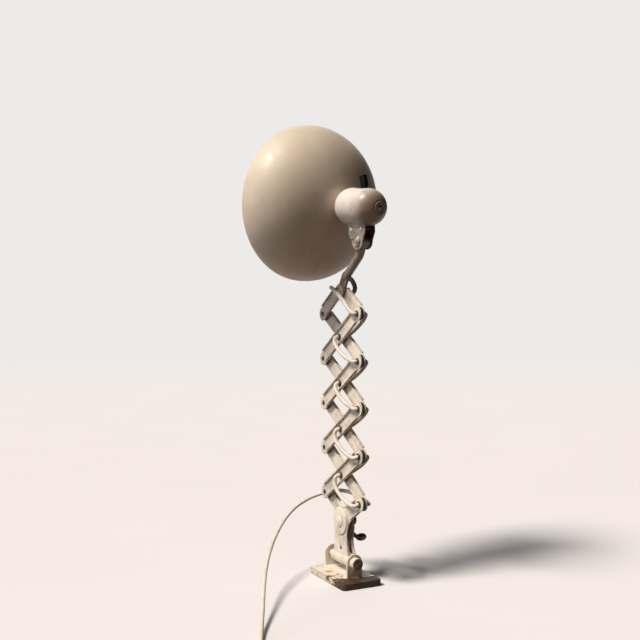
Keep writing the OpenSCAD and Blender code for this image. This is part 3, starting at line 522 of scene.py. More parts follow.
METALS = {
    # Browned steel for rivets, screws, lever and eyelets; on the swivel block it is painted shade between the knuckle
    # plates.
    "dark": ("Browned steel", 0.0001, (0.10, 0.072, 0.058), (0.035, 0.026, 0.022), 0.7, 0.40, 0.30, 0.85),
    "bright": ("Dull nickel", 0.00008, (0.52, 0.50, 0.46), (0.20, 0.16, 0.13), 0.45, 0.28, 0.5, 1.0),
    "plated": ("Cream plating", 0.00008, (0.43, 0.385, 0.34), (0.15, 0.11, 0.085), 0.65, 0.42, 0.5, 0.3),
    # Painted shade: the knuckle's back plate and the rivet shanks between the plates are painted dark brown for the
    # shade between the plates.
    "browned": ("Browned plate", 0.00008, (0.085, 0.052, 0.040), (0.035, 0.022, 0.018), 0.7, 0.5, 0.15, 0.3),
    # Near-white rivet domes: partly their polished metal, partly a painted glint.
    "dome": ("Bright domes", 0.00004, (0.86, 0.84, 0.80), (0.40, 0.34, 0.28), 0.25, 0.26, 0.3, 0.3),
}
SKIN_LABELS = ("Colour", "Dust", "Dusty", "Base Roughness", "Grain", "Specular IOR Level")
SKINS = {
    # Black fibre washers at the joints; their black also paints in the shade of the gap between the link layers.
    "fibre": ("Black fibre", 0.00006, (0.018, 0.014, 0.012), (0.11, 0.085, 0.065), 0.4, 0.62, 1600, 0.5),
    "flex": ("Flex sheath", 0.00003, "flex", (0.42, 0.34, 0.27), 0.35, 0.46, 900, 0.5),
    "black": ("Black plastic", 0.00004, (0.006, 0.006, 0.006), (0.10, 0.09, 0.08), 0.10, 0.55, 1400, 0.25),
    "toggle": ("Black paddle", 0.00003, (0.004, 0.004, 0.004), (0.05, 0.045, 0.04), 0.05, 0.75, 1400, 0.12),
    "rubber": ("Brown rubber", 0.00004, (0.035, 0.022, 0.018), (0.12, 0.09, 0.07), 0.25, 0.6, 1400, 0.3),
    "opal": ("Opal glass", 0.00002, (0.88, 0.87, 0.84), (0.70, 0.66, 0.58), 0.2, 0.20, 300, 0.5),
}
EXTRAS = {
    # The plate's bared metal is near black; at its +X end it also serves as painted shade on the end face.
    "plate": {"Metal": (0.026, 0.016, 0.011)},
    "opal": {"Transmission Weight": 0.25, "IOR": 1.5, "Coat Weight": 0.4},
}
FINISHES = {}


def finish(name):
    return FINISHES[name]


def make_finishes():
    c = colours()
    wear = edge_wear_group()
    enamel_group(wear)
    metal_group(wear)
    moulded_group()
    glazed = {"Metal": tuple(c.bare), "Coat Weight": 0.06, "Coat Roughness": 0.3, "Specular IOR Level": 0.4}
    for tree_name, labels, rows, common in (("Aged enamel", ENAMEL_LABELS, ENAMELS, glazed),
                                            ("Handled metal", METAL_LABELS, METALS, {}),
                                            ("Moulded skin", SKIN_LABELS, SKINS, {})):
        for name, (title, depth, *row) in rows.items():
            values = [tuple(getattr(c, value)) if isinstance(value, str) else value for value in row]
            FINISHES[name] = shell(title, tree_name, depth,
                                   {**common, **dict(zip(labels, values)), **EXTRAS.get(name, {})})
    # Chips grow towards the plate's +X end, where its enamel is chipped through; the near-black end this gives also
    # paints in the shade on the end face, which turns away from the key light.
    wear_and_shade_along(FINISHES["plate"], "Chips", Vector((1, 0, 0)), 0.008, 0.058, 0.5, 1.22)


# ---------------------------------------------------------------- stage

SKY = (0.84, 0.83, 0.815)


class LAMP_OT_stage(bpy.types.Operator):
    """Pale floor, soft studio light and the camera"""

    bl_idname = "lamp.stage"
    bl_label = "Stage"

    def execute(self, context):
        scene = context.scene
        scene.view_settings.view_transform = "Standard"
        clear()
        bpy.ops.object.camera_add(location=mm(1132.4, -616.7, 375.0), rotation=(math.radians(90), 0, math.radians(63)))
        camera = named(context.object, "Camera")
        camera.data.sensor_width, camera.data.lens = 36, 50
        camera.data.clip_start, camera.data.clip_end = 0.05, 100
        scene.camera = camera

        clear()
        bpy.ops.mesh.primitive_plane_add(size=60, location=(0, 0, 0))
        floor = named(context.object, "Floor")
        material = bpy.data.materials.new("Pale floor")
        material.use_nodes = True
        tree = material.node_tree
        bsdf = tree.nodes["Principled BSDF"]
        path = put(tree, "ShaderNodeLightPath")
        seen = maths(tree, "MAXIMUM", path.outputs["Is Camera Ray"],
                     maths(tree, "MAXIMUM", path.outputs["Is Glossy Ray"], path.outputs["Is Transmission Ray"]), True)
        where = put(tree, "ShaderNodeTexCoord").outputs["Object"]
        pale = tuple(colours().backdrop)
        mottled = blendc(tree, ramp(tree, noise(tree, where, 3.0), 0.3, 0.7), (*pale, 1),
                         (*(v * 0.985 for v in pale), 1))
        # Bounce rays see a dark brown floor, so the lamp's underside gets little bounce light and stays in shade;
        # camera, glossy and transmission rays see the pale floor.
        tone = blendc(tree, seen, (0.06, 0.032, 0.019, 1), mottled)
        tree.links.new(tone, bsdf.inputs["Base Color"])
        bsdf.inputs["Roughness"].default_value = 0.8
        bsdf.inputs["Specular IOR Level"].default_value = 0.2
        far = ramp(tree, put(tree, "ShaderNodeVectorMath", operation="LENGTH", i0=where).outputs["Value"], 1.6, 9.0)
        glow = put(tree, "ShaderNodeEmission", Color=(*SKY, 1), Strength=1.0)
        both = put(tree, "ShaderNodeMixShader", i0=maths(tree, "MULTIPLY", far, seen), i1=bsdf.outputs[0],
                   i2=glow.outputs[0])
        tree.links.new(both.outputs[0], tree.nodes["Material Output"].inputs["Surface"])
        floor.data.materials.append(material)

        def lamp(name, towards, strength, colour, width):
            clear()
            bpy.ops.object.light_add(type="SUN", location=Vector(towards) * 2)
            light = named(context.object, name)
            light.rotation_euler = Vector(towards).to_track_quat("Z", "Y").to_euler()
            light.data.energy, light.data.color, light.data.angle = strength, colour, math.radians(width)

        lamp("Key_light", (0.02, -0.58, 0.81), 4.1, (1.0, 0.91, 0.80), 16)
        lamp("Side_light", (-0.17, -0.96, 0.24), 0.68, (0.88, 0.94, 1.0), 25)
        lamp("Back_light", (-0.86, 0.42, 0.30), 0.5, (1.0, 0.93, 0.86), 60)

        world = scene.world or bpy.data.worlds.new("Studio")
        scene.world = world
        world.use_nodes = True
        tree = world.node_tree
        path = put(tree, "ShaderNodeLightPath")
        seen = maths(tree, "MAXIMUM", path.outputs["Is Camera Ray"], path.outputs["Is Transmission Ray"], True)
        tone = blendc(tree, seen, (0.88, 0.88, 0.90, 1), (*SKY, 1))
        level = put(tree, "ShaderNodeMapRange", Value=seen, To_Min=0.06, To_Max=1.0).outputs[0]
        tree.links.new(tone, tree.nodes["Background"].inputs["Color"])
        tree.links.new(level, tree.nodes["Background"].inputs["Strength"])
        return {"FINISHED"}


# ---------------------------------------------------------------- flex

# The flex's way in millimetres, from the crossing it leaves.
# It threads the eyelets of the crossings and of the right joints.
OUT = FLANGE_OUT + 3.0
LOOP = [(30.4, 4.5, 8.2), (27.5, 7.5, 1.9), (16.5, OUT + 0.5, -3.6), (1.5, OUT + 1, -5.9), (-13, OUT + 0.5, -3),
        (-21.5, 6.5, 0), (-22.3, 0, 2.2), (-15.5, -8, 4.9), (-7.5, -OUT - 0.9, 3.6), (2, -OUT - 0.9, -1)]
TOP_STRAND = [(14, -OUT - 0.9, -8), (27, -OUT - 0.9, -16.5), (39, -OUT - 0.7, -26), (48.5, -9.4, -32),
              (52.2, -7.2, -33.4), (SIDE_X, -5, -STAGE / 2), (SIDE_X, -2, -STAGE / 2)]
FRONT_TAUT = [(0, -2, 0), (0, -7, 0), (0.5, -11, -3), (4.5, -12.6, -9), (14, -12.3, -16.5), (27, -11.8, -24),
              (42, -10.3, -30), (50.5, -8.6, -33), (SIDE_X, -5.6, -STAGE / 2), (SIDE_X, -2, -STAGE / 2)]
FRONT_SLACK = [(0, -2, 0), (0, -7.5, 0), (-1.3, -12.4, -3.5), (-0.5, -14.2, -10.5), (6, -14.4, -19.5), (20, -13.8, -28),
               (38, -12, -35), (49, -9.5, -36), (SIDE_X, -5.6, -STAGE / 2 - 0.3), (SIDE_X, -2, -STAGE / 2)]
SLACK = {4: 0.25, 3: 0.1, 2: 0.75, 1: 1.0}
BACK = [(SIDE_X, 2, -33.3), (SIDE_X, 7, -33.3), (51.5, 10.6, -34.8), (47.5, 12, -38.6), (38, 12.2, -45.6),
        (26, 12, -52.6),
        (14, 11.4, -58.8), (5, 9.8, -63.4), (0.6, 7.4, -66), (0, 5.5, -STAGE), (0, 2, -STAGE)]
LAST = [(SIDE_X, 2, -33.3), (SIDE_X, 7, -33.4), (52, 11, -34.2), (48, 13.6, -35), (40, 14, -33), (30, 13.6, -30),
        (18, 12.8, -27.8), (4, OUT + 2, -27), (-18, OUT + 2, -28), (-38, OUT + 1.5, -30)]
GROMMET_ALONG, GROMMET_REACH, GROMMET_SLEEVE = 6, 7, 0.0066
EYELET = [(4.4, 2.9), (4.4, 4.3), (5.7, 4.7), (6.4, 4.3), (6.6, 3.6), (6.3, 3.0)]
LEAD = [(-51, 11.4, 119.2), (-62, 8.4, 116), (-72, -1, 111), (-78, -19, 104), (-77, -42, 93), (-66, -65, 79),
        (-44, -89, 63), (-13, -112, 50), (24, -134, 38), (70, -157, 26), (118, -179.5, 14), (149, -194, 7),
        (176, -206.5, 3.2), (200, -217.7, 2.6), (222, -227.9, 2.6)]
LEAD_STEPS, UPPER_END, MIDDLE_END, ON_TABLE = 6, 4, 6, 13
COIL_TURNS, COIL_PITCH, COIL_INNER, COIL_AT, COIL_ANGLE = 7, 5.6, 20, (262.1, -203), -114.8
REST_Z, TAIL = 2.6, 24
PLUG_T, PLUG_LEN, PLUG_W = 13.6, 36, 34


def even(points, n):
    """A smooth way through given points, n steps between each two"""
    out = []
    for i in range(len(points) - 1):
        a, b, c, d = (Vector(points[min(max(j, 0), len(points) - 1)]) for j in (i - 1, i, i + 1, i + 2))
        for j in range(n):
            t = j / n
            out.append(0.5 * (2 * b + (c - a) * t + (2 * a - 5 * b + 4 * c - d) * t * t + (3 * b - a - 3 * c + d) * t ** 3))
    return out + [Vector(points[-1])]


def grommet_tip():
    s, g = math.radians(TUBE_SLOPE), math.radians(TUBE_SLOPE - 90)
    way = Vector((math.cos(g), 0, math.sin(g)))
    foot = Vector((TUBE_X + GROMMET_ALONG * math.cos(s), 0, TUBE_Z + GROMMET_ALONG * math.sin(s)))
    return foot + GROMMET_REACH * way, way


def above(points, k):
    """Listed points of the flex at their height, counted from crossing k"""
    return [Vector(p) + Vector((0, 0, ARM_Z + k * STAGE)) for p in points]


def tube(name, points, diameter, sides=12, caps=True):
    """A round tube along points in metres"""
    clear()
    bpy.ops.curve.primitive_nurbs_path_add(location=(0, 0, 0))
    obj = bpy.context.object
    curve = obj.data
    curve.splines.clear()
    spline = curve.splines.new("POLY")
    spline.points.add(len(points) - 1)
    for i, p in enumerate(points):
        spline.points[i].co = (*p, 1)
        spline.points[i].radius = 1
    curve.dimensions = "3D"
    curve.bevel_depth = diameter / 2
    curve.bevel_resolution = (sides - 4) // 2
    curve.use_fill_caps = caps
    bpy.ops.object.convert(target="MESH")
    obj = bpy.context.object
    outward(obj)
    smooth(obj, 50)
    return named(obj, name)


def place_of(mark):
    """A given point where it is in the leaning arm, in metres"""
    return lean_frame() @ (mark * 0.001)


class LAMP_OT_arm_flex(bpy.types.Operator):
    """The flex threaded down the arm; a strand that lies on one link rides that link, and the strands that reach over
    two bodies stay where they are laid
    """

    bl_idname = "lamp.arm_flex"
    bl_label = "Flex round the arm"

    def execute(self, context):
        steps = 5

        def strand(name, line, *bodies, **ends):
            piece = tube(name, line, sizes().sleeve_d, 16)
            piece.data.materials.append(finish("flex"))
            if ends:
                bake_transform(piece)
            else:
                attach(piece, *bodies)
            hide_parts("arm_cord")

        tip, way = grommet_tip()
        marks = [tip + way * 0.3, tip + way * 4 + Vector((1.5, 1.5, 2))] + above(LOOP + TOP_STRAND, STAGES)
        line = [place_of(p) for p in even(marks, steps)]
        turned_over = (2 + len(LOOP)) * steps
        strand("Flex_top", line[:turned_over + 1], "back_link_%d" % STAGES, "neck",
               start=place_of(Vector((-15, -7.2, TOP_Z))), end=place_of(Vector((-11, 0.9, TOP_Z + 4.8))))
        strand("Flex_front_%d" % STAGES, line[turned_over:], "back_link_%d" % STAGES)
        for k, slack in SLACK.items():
            points = [Vector(a).lerp(Vector(b), slack) for a, b in zip(FRONT_TAUT, FRONT_SLACK)]
            strand("Flex_front_%d" % k, [place_of(p) for p in even(above(points, k), steps)], "back_link_%d" % k)
            strand("Flex_back_%d" % (k + 1), [place_of(p) for p in even(above(BACK, k + 1), steps)],
                   "front_link_%d" % k)
        last = [place_of(p) for p in even(above(LAST, 1), steps)]
        hand, middle = 3 * steps, 7 * steps
        strand("Flex_across_right", last[:middle + 1], "hub", "front_link_0", start=last[middle], end=last[hand])
        strand("Flex_across_left", last[middle:], "hub", "back_link_0", start=last[middle], end=last[-4])

        # the dark sleeve over the loop where the flex leaves the neck tube
        sleeve_line = [place_of(tip - way * 6), place_of(tip - way * 3)] + line[:5 * steps]
        sleeve = tube("Flex_sleeve", sleeve_line, GROMMET_SLEEVE, 16)
        finish_piece(sleeve, "cord_grommet", "rubber")

        # a rolled lip on every eyelet that the flex threads
        for k in range(STAGES):
            places = [(SIDE_X, ARM_Z + (k + 0.5) * STAGE)] + ([(0, ARM_Z + k * STAGE)] if k else [])
            rings = []
            for x, z in places:
                for side in (-90, 90):
                    ring = turned("Eyelets_%d" % k, EYELET, 40, True)
                    settle(ring, lean_frame() @ shift(x, 0, z) @ turn("Z", side))
                    rings.append(ring)
            clear()
            for ring in rings:
                ring.select_set(True)
            context.view_layer.objects.active = rings[0]
            bpy.ops.object.join()
            smooth(rings[0], 50)
            finish_piece(named(rings[0], "Eyelets_%d" % k), "rivets_a%d" % k, "dark")
        return {"FINISHED"}


class LAMP_OT_lead(bpy.types.Operator):
    """The free lead from the lowest left joint to its stored coil, with its tie"""

    bl_idname = "lamp.lead"
    bl_label = "Lead and coil"

    def execute(self, context):
        d = sizes().cord_d
        wound = [place_of(p) * 1000 for p in even(above(LAST, 1), 2)]
        start = wound[-1] + 0.5 * (wound[-1] - wound[-2]).normalized()
        rise = lambda t: min(1, max(0, (t - COIL_TURNS / 2) * 2 + 0.5))

        def coil(t):
            r = COIL_INNER + COIL_PITCH * abs(t - COIL_TURNS / 2)
            a = math.radians(COIL_ANGLE + 360 * t)
            return Vector((COIL_AT[0] + r * math.cos(a), COIL_AT[1] + r * math.sin(a), REST_Z + COIL_PITCH * rise(t)))

        n = 40
        loops = [coil(i / n) for i in range(n * COIL_TURNS + 1)]
        way = Vector((-math.sin(math.radians(COIL_ANGLE)), math.cos(math.radians(COIL_ANGLE)), 0))
        end = loops[-1]
        plug_z = PLUG_T / 2 + 0.1
        tail = [end + way * TAIL / 3, end + way * TAIL * 2 / 3 - Vector((0, 0, 0.3)),
                Vector((end.x, end.y, plug_z)) + way * TAIL]
        free = even([start] + LEAD + [loops[0]], LEAD_STEPS)
        whole = [p * 0.001 for p in free[:-1] + loops + tail]
        up, low = UPPER_END * LEAD_STEPS, MIDDLE_END * LEAD_STEPS

        def stretch(name, i0, i1, a, b, first, last, far_end, *nodes, **facts):
            path = whole[i0:i1 + 1]
            piece = tube(name, path, d)
            piece.data.materials.append(finish("flex"))
            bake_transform(piece)
            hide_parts(*nodes)
            long = sum((q - p).length for p, q in zip(path, path[1:]))
            return long

        total = stretch("Lead_upper", 0, up, "hub", "back_link_0", up, 4, "object", "cord_lead", lay="hanging")
        total += stretch("Lead_middle", up, low, "stem", "hub", low, up, "object", "cord_lead", lay="hanging")
        tie = dressed("coil_tie", "black", 0.0006, 3)
        plug, pins = bpy.data.objects["Plug"], bpy.data.objects["plug_pins_dressed"]
        total += stretch("Lead_and_coil", low, len(whole) - 1, "base", "stem", ON_TABLE * LEAD_STEPS, low, "plug",
                         "cord_lead", "cord_coil", lay="coiled", with_pieces=[plug, pins, tie])
        print("free lead, m:", round(total, 3))
        return {"FINISHED"}


class LAMP_OT_plug(bpy.types.Operator):
    """A plain two-pin plug with a ribbed strain relief"""

    bl_idname = "lamp.plug"
    bl_label = "Plug"

    def execute(self, context):
        body = turned("Plug", [(-0.2 + TAIL + 0.5, 0), (TAIL + 0.3, 3.5), (TAIL + 3, 3.7), (TAIL + 3.4, 3.2),
                               (TAIL + 5.4, 3.3),
                               (TAIL + 5.8, 3.95), (TAIL + 8.4, 4.1), (TAIL + 8.8, 3.5), (TAIL + 10.8, 3.6),
                               (TAIL + 11.2, 4.25), (TAIL + 14, 4.35), (TAIL + 14.4, 3.8), (TAIL + 16.4, 3.9),
                               (TAIL + 16.8, 4.5), (TAIL + 21, 4.6), (TAIL + 21, 0)], 32)
        clear()
        bpy.ops.mesh.primitive_cube_add(size=1, location=mm(TAIL + 20 + PLUG_LEN / 2, 0, 0))
        block = context.object
        block.scale = mm(PLUG_LEN, PLUG_W, PLUG_T)
        apply_transform()
        mode("EDIT")
        bpy.ops.mesh.select_all(action="DESELECT")
        mode("OBJECT")
        for v in block.data.vertices:
            v.select = v.co.x < (TAIL + 21) / 1000
        mode("EDIT")
        bpy.ops.mesh.select_mode(type="VERT")
        bpy.ops.transform.resize(value=(1, 0.42, 0.86))
        mode("OBJECT")
        add_modifier(block, "BEVEL", width=0.004, segments=5, limit_method="ANGLE", angle_limit=math.radians(30))
        take(block)
        body.select_set(True)
        bpy.context.view_layer.objects.active = body
        bpy.ops.object.join()
        body = bpy.context.object
        smooth(body, 40)
        angle = math.radians(COIL_ANGLE)
        r = COIL_INNER + COIL_PITCH * COIL_TURNS / 2
        settle(body, shift(COIL_AT[0] + r * math.cos(angle), COIL_AT[1] + r * math.sin(angle), PLUG_T / 2 + 0.1)
               @ turn("Z", COIL_ANGLE + 90))
        finish_piece(named(body, "Plug"), "plug_body", "black")
        dressed("plug_pins", "bright", 0.0006, 3)
        return {"FINISHED"}


# ---------------------------------------------------------------- base, stem and arm

class LAMP_OT_base(bpy.types.Operator):
    """Heavy plate, bent bracket and the hinge pin with its knob"""

    bl_idname = "lamp.base"
    bl_label = "Base"

    def execute(self, context):
        dressed("base_plate", "plate", 0.0011, 4)
        dressed("base_bracket", "sheet", 0.0005, 3)
        pin = dressed("hinge_pin", "knob", 0.0009, 4)
        # The pin's outer end face gets the dark brown painted shade.
        pin.data.materials.append(finish("worn"))
        far = max(v.co.x for v in pin.data.vertices)
        for face in pin.data.polygons:
            face.material_index = 1 if face.normal.x > 0.7 and face.center.x > far - 0.003 else 0
        return {"FINISHED"}


class LAMP_OT_stem(bpy.types.Operator):
    """The two pressed cheeks with the friction clamp and its lever"""

    bl_idname = "lamp.stem"
    bl_label = "Stem and clamp"

    def execute(self, context):
        dressed("stem_front_cheek", "sheet", 0.00045, 3)
        dressed("stem_back_cheek", "sheet", 0.00045, 3)
        dressed("stem_rivet", "dark", 0.0004)
        dressed("boss_plate", "sheet", 0.0007, 3)
        dressed("clamp_bolt", "sheet", 0.0006, 3)
        dressed("clamp_lever", "dark", 0.0008, 3)
        dressed("hub_washer", "fibre", 0.0003)
        return {"FINISHED"}


class LAMP_OT_links(bpy.types.Operator):
    """The crossed links of the arm with their rivets and washers"""

    bl_idname = "lamp.links"
    bl_label = "Scissor links"

    def execute(self, context):
        for k in range(STAGES + 1):
            dressed("link_a%d" % k, "sheet", 0.00045, 3)
            dressed("link_b%d" % k, "sheet", 0.00045, 3)
            dressed("rivets_a%d" % k, "dark", 0.0003)
            # The washers' black also stands in for the shade of the gap between the link layers.
            dressed("washers_a%d" % k, "fibre", 0.0003)
        return {"FINISHED"}


# ---------------------------------------------------------------- neck and head

class LAMP_OT_neck(bpy.types.Operator):
    """Bent tube with its flat tab, screw and swivel block"""

    bl_idname = "lamp.neck"
    bl_label = "Neck"

    def execute(self, context):
        c, s = math.cos(math.radians(TUBE_SLOPE)), math.sin(math.radians(TUBE_SLOPE))
        line = [Vector((TUBE_X + TUBE_RUN * c * t, 0, TUBE_Z + TUBE_RUN * s * t)) for t in (0, 0.33, 0.66)]
        steps = 20
        for i in range(steps + 1):
            x, z = on_bend(TUBE_SLOPE + (TUBE_END_SLOPE - TUBE_SLOPE) * i / steps)
            line.append(Vector((x, 0, z)))
        a = math.radians(TUBE_END_SLOPE)
        line.append(line[-1] + 4 * Vector((math.cos(a), 0, math.sin(a))))
        pipe = tube("Neck_tube", [p * 0.001 for p in line], TUBE_D / 1000, 32, caps=False)
        add_modifier(pipe, "SOLIDIFY", thickness=0.001, offset=-1)
        soften(pipe, 0.00025, 2, 40)
        settle(pipe, lean_frame())
        # The tube and tab take the neck's brown-grey, painted shadow of the shade.
        finish_piece(pipe, "neck_tube", "neck")
        dressed("neck_tab", "neck", 0.0005, 3)
        dressed("neck_screw", "bright", 0.0004)
        # The block's dark browned steel is painted shade between the knuckle plates.
        dressed("swivel_block", "dark", 0.0007, 3)
        return {"FINISHED"}


class LAMP_OT_knuckle(bpy.types.Operator):
    """The two plates that carry the head, their rivets and their screw"""

    bl_idname = "lamp.knuckle"
    bl_label = "Knuckle"

    def execute(self, context):
        dressed("knuckle_front_plate", "plated", 0.0003)
        # The back plate's dark brown is painted shade; its inner face lies in shade.
        dressed("knuckle_back_plate", "browned", 0.0003)
        local = knuckle_frame()
        # The rivet domes are near white, their polish with a painted glint.
        rivets = dressed("knuckle_rivets", "dome", 0.0006, 4)
        # The rivet shanks between the plates take the same painted shade.
        rivets.data.materials.append(finish("browned"))
        home = local.inverted()
        for face in rivets.data.polygons:
            face.material_index = 1 if abs((home @ face.center).y) < 0.0078 else 0
        screw = copy_of("knuckle_screw", "knuckle_screw_dressed")
        settle(screw, home)
        cut(screw, (-6, 6), (-14, -10.9), (-0.6, 0.6))
        soften(screw, 0.0002, 2, 40)
        settle(screw, local @ turn("Y", 25))
        finish_piece(screw, "knuckle_screw", "plated")
        ring = turned("Knuckle_ring", [(9.7, 5.0), (9.7, 7.0), (11.0, 7.0), (11.5, 6.5), (11.5, 5.9), (11.0, 5.4)], 48,
                      True)
        smooth(ring, 40)
        settle(ring, local @ turn("Z", -90))
        finish_piece(ring, "knuckle_screw", "plated")
        return {"FINISHED"}


def housing_radius(x, r):
    half = sizes().housing_half * 1000
    if abs(x) <= half:
        return r - 0.8 * math.cos(math.pi / 2 * x / half) ** 2
    return math.sqrt(max(0, r * r - (abs(x) - half) ** 2))


def between(a, b, n):
    return [a + (b - a) * i / n for i in range(n + 1)]


class LAMP_OT_housing(bpy.types.Operator):
    """Egg-shaped lamp housing in two spun shells, its end screw and the switch"""

    bl_idname = "lamp.housing"
    bl_label = "Housing and switch"

    def execute(self, context):
        s = sizes()
        r, half, wall, split = s.housing_r * 1000, s.housing_half * 1000, 1.4, 3
        outer = [(x, housing_radius(x, r)) for x in between(-SEAT_X, -half, 14) + between(-half, split - 0.35, 10)[1:]]
        outer += [(split - 0.12, outer[-1][1] - 0.12), (split, outer[-1][1] - 0.4)]
        inner = [(x, housing_radius(x, r - wall))
                 for x in between(split, -half, 8) + between(-half, -SEAT_X + wall, 8)[1:]]
        rear = turned("Housing_rear", [(-SEAT_X, 14.1)] + outer + inner + [(-SEAT_X + wall, 14.1)], 96, True)
        bored(rear, 0, 0, 9, -28, -2)
        soften(rear, 0.0003, 2, 40)
        settle(rear, head_frame())
        finish_piece(rear, "housing_rear_shell", "housing")

        def end_x(q):
            x = half + math.sqrt(r * r - q * q)
            x -= 0.75 * math.exp(-((q - 9.6) / 0.55) ** 2) + 0.55 * math.exp(-((q - 6.1) / 0.5) ** 2)
            x += 0.35 * math.exp(-((q - 8.2) / 0.6) ** 2)
            return x - (0.8 if q < 4.9 else 0.8 * max(0, (5.5 - q) / 0.6) if q < 5.5 else 0)

        start = housing_radius(split, r)
        dome = [(half + r * math.sin(a), r * math.cos(a)) for a in between(math.radians(3), math.acos(11 / r), 22)]
        rings = [(end_x(q), q) for q in between(10.8, 2.1, 44)]
        outer = [(split, start - 0.4), (split + 0.12, start - 0.12), (split + 0.35, start)]
        outer += [(x, housing_radius(x, r)) for x in between(split + 0.35, half, 8)[1:]] + dome + rings
        inner = [(half + math.sqrt((r - wall) ** 2 - q * q), q) for q in (2.1, 8, 14, 18, 21, 23, 24.2)]
        inner += [(x, housing_radius(x, r - wall)) for x in between(half, split, 5)]
        cap = turned("Housing_cap", outer + inner, 96, True)
        bored(cap, 0, 0, 9, -28, -2)
        cut(cap, (4, 16), (-3.6, 3.6), (0, 28))
        soften(cap, 0.0003, 2, 40)
        settle(cap, head_frame())
        # Painted shade: the cap's enamel turns from the housing's cream to brown towards its domed end and underside.
        way = head_frame().to_3x3() @ Vector((1, 0, -0.35))
        middle = way.dot(head_frame().translation)
        wear_and_shade_along(finish("cap"), "Enamel", way, middle + 0.004, middle + 0.036, tuple(colours().housing_enamel),
                   (0.25, 0.165, 0.11))
        finish_piece(cap, "housing_cap", "cap")
        dressed("cap_screw", "dark", 0.0003)
        dressed("switch_body", "black", 0.0005)
        dressed("switch_toggle", "toggle", 0.0007, 3)
        return {"FINISHED"}


class LAMP_OT_shade(bpy.types.Operator):
    """Spun dome with a rolled rim, cream outside and white inside"""

    bl_idname = "lamp.shade"
    bl_label = "Shade"

    def execute(self, context):
        s = sizes()
        big, deep, wall = s.shade_r * 1000, s.shade_depth * 1000, s.shade_wall * 1000

        def on_dome(a, grow):
            return SHADE_X - (deep - grow) * (1 - math.cos(a)) - grow, (big - grow) * math.sin(a)

        first = math.asin(14.15 / big)
        angles = between(first, math.radians(88.6), 46)
        outer = [on_dome(a, 0) for a in angles]
        inner = [on_dome(a, wall) for a in reversed(angles)]
        bead, middle = 1.15, (SHADE_X - deep - 0.35, big - 1.2)
        rim = [(middle[0] + bead * math.cos(a), middle[1] + bead * math.sin(a))
               for a in between(math.radians(58), math.radians(302), 14)]
        dome = turned("Shade", outer + rim + inner, 144, True)
        centre = mm(SHADE_X - deep, 0, 0)
        dome.data.materials.append(finish("shade"))
        dome.data.materials.append(finish("inside"))
        for face in dome.data.polygons:
            face.material_index = 1 if face.normal.dot(face.center - centre) < 0 else 0
        smooth(dome, 60)
        settle(dome, head_frame())
        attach(dome, BODIES["shade"])
        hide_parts("shade")
        return {"FINISHED"}


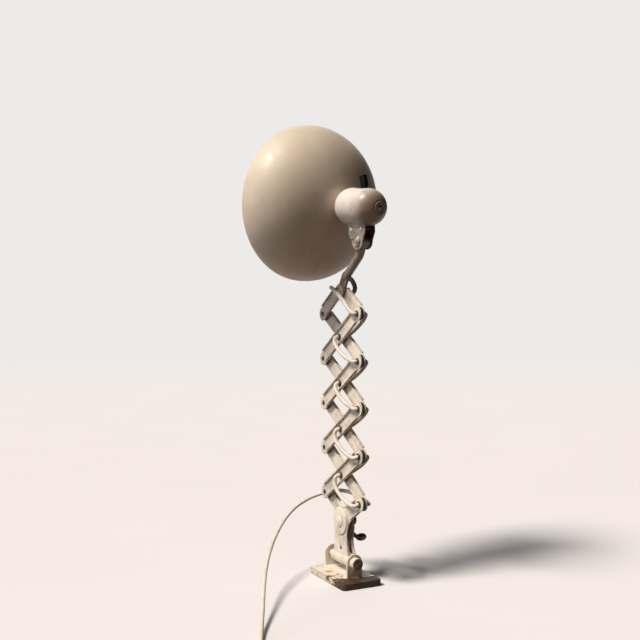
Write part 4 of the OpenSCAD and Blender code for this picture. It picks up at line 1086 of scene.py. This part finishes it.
class LAMP_OT_lampholder(bpy.types.Operator):
    """Shade ring, ribbed lampholder and the opal bulb"""

    bl_idname = "lamp.lampholder"
    bl_label = "Lampholder and bulb"

    def execute(self, context):
        at = -42.13
        skirt = [(at, 14.1), (at, 18.4), (at - 0.6, 19.3), (at - 3, 19.5)]
        for i in range(6):
            x = at - 4 - i * 3.6
            skirt += [(x, 19.5), (x - 0.5, 18.7), (x - 1.3, 18.7), (x - 1.8, 19.5)]
        skirt += [(at - 32, 19.5), (at - 33.4, 19.2), (at - 34, 18.4), (at - 34, 14.6), (at - 33.4, 14.0),
                  (at - 6, 14.0),
                  (at - 6, 5), (-23.5, 5), (-23.5, 13.4), (-24.1, 14.0), (at, 14.0)]
        holder = turned("Lampholder", skirt, 64, True)
        smooth(holder, 32)
        settle(holder, head_frame())
        finish_piece(holder, "lampholder", "black")
        dressed("shade_ring", "black", 0.0006, 3)

        thread = [(at - 31, 0), (at - 31, 12.0)]
        for i in range(5):
            x = at - 29.6 + i * 3.4
            thread += [(x, 12.2), (x + 0.85, 13.0), (x + 1.7, 12.2), (x + 2.5, 11.8)]
        thread += [(at - 11.6, 11.6), (at - 11, 10.8), (at - 10.4, 5.5), (at - 6.8, 5.2), (at - 6.4, 4.6),
                   (at - 6.4, 0)]
        cap = turned("Bulb_cap", thread, 64)
        smooth(cap, 50)
        settle(cap, head_frame())
        finish_piece(cap, "bulb_cap", "bright")

        ball, big = -96.24, 22.5
        glass = [(ball - big * math.cos(a), big * math.sin(a)) for a in between(0, math.radians(118), 30)]
        x1, r1 = glass[-1]
        neck = [(at - 33.4, 12.2), (at - 31.2, 11.9)]
        glass += [(x1 + (neck[0][0] - x1) * t, r1 + (neck[0][1] - r1) * (1 - (1 - t) ** 1.9))
                  for t in between(0, 1, 8)[1:-1]]
        bulb = turned("Bulb_glass", glass + neck + [(at - 31.2, 0)], 72)
        smooth(bulb, 50)
        settle(bulb, head_frame())
        finish_piece(bulb, "bulb_glass", "opal")
        return {"FINISHED"}


# ---------------------------------------------------------------- panel and run

ORDER = ["stage", "arm_flex", "plug", "lead", "base", "stem", "links", "neck", "knuckle", "housing", "shade",
         "lampholder"]


class LAMP_PT_panel(bpy.types.Panel):
    """The pieces of the desk lamp, in the order they are made"""

    bl_label = "Desk lamp"
    bl_idname = "LAMP_PT_panel"
    bl_space_type = "VIEW_3D"
    bl_region_type = "UI"
    bl_category = "Desk lamp"

    def draw(self, context):
        layout = self.layout
        for group_of in (context.scene.lamp_sizes, context.scene.lamp_colours):
            box = layout.box()
            for name in group_of.bl_rna.properties.keys():
                if name not in ("rna_type", "name"):
                    box.prop(group_of, name)
        for name in ORDER:
            layout.operator("lamp." + name)


CLASSES = (LampSizes, LampColours, LAMP_OT_stage, LAMP_OT_arm_flex, LAMP_OT_lead, LAMP_OT_plug, LAMP_OT_base,
           LAMP_OT_stem, LAMP_OT_links, LAMP_OT_neck, LAMP_OT_knuckle, LAMP_OT_housing, LAMP_OT_shade,
           LAMP_OT_lampholder,
           LAMP_PT_panel)


def register():
    for cls in CLASSES:
        bpy.utils.register_class(cls)
    bpy.types.Scene.lamp_sizes = bpy.props.PointerProperty(type=LampSizes)
    bpy.types.Scene.lamp_colours = bpy.props.PointerProperty(type=LampColours)


def unregister():
    del bpy.types.Scene.lamp_colours
    del bpy.types.Scene.lamp_sizes
    for cls in reversed(CLASSES):
        bpy.utils.unregister_class(cls)


def plain(box):
    return [[round(float(v), 5) for v in corner] for corner in box]


def main():
    register()
    make_finishes()
    for name in ORDER:
        getattr(bpy.ops.lamp, name)()


if __name__ == "__main__":
    main()
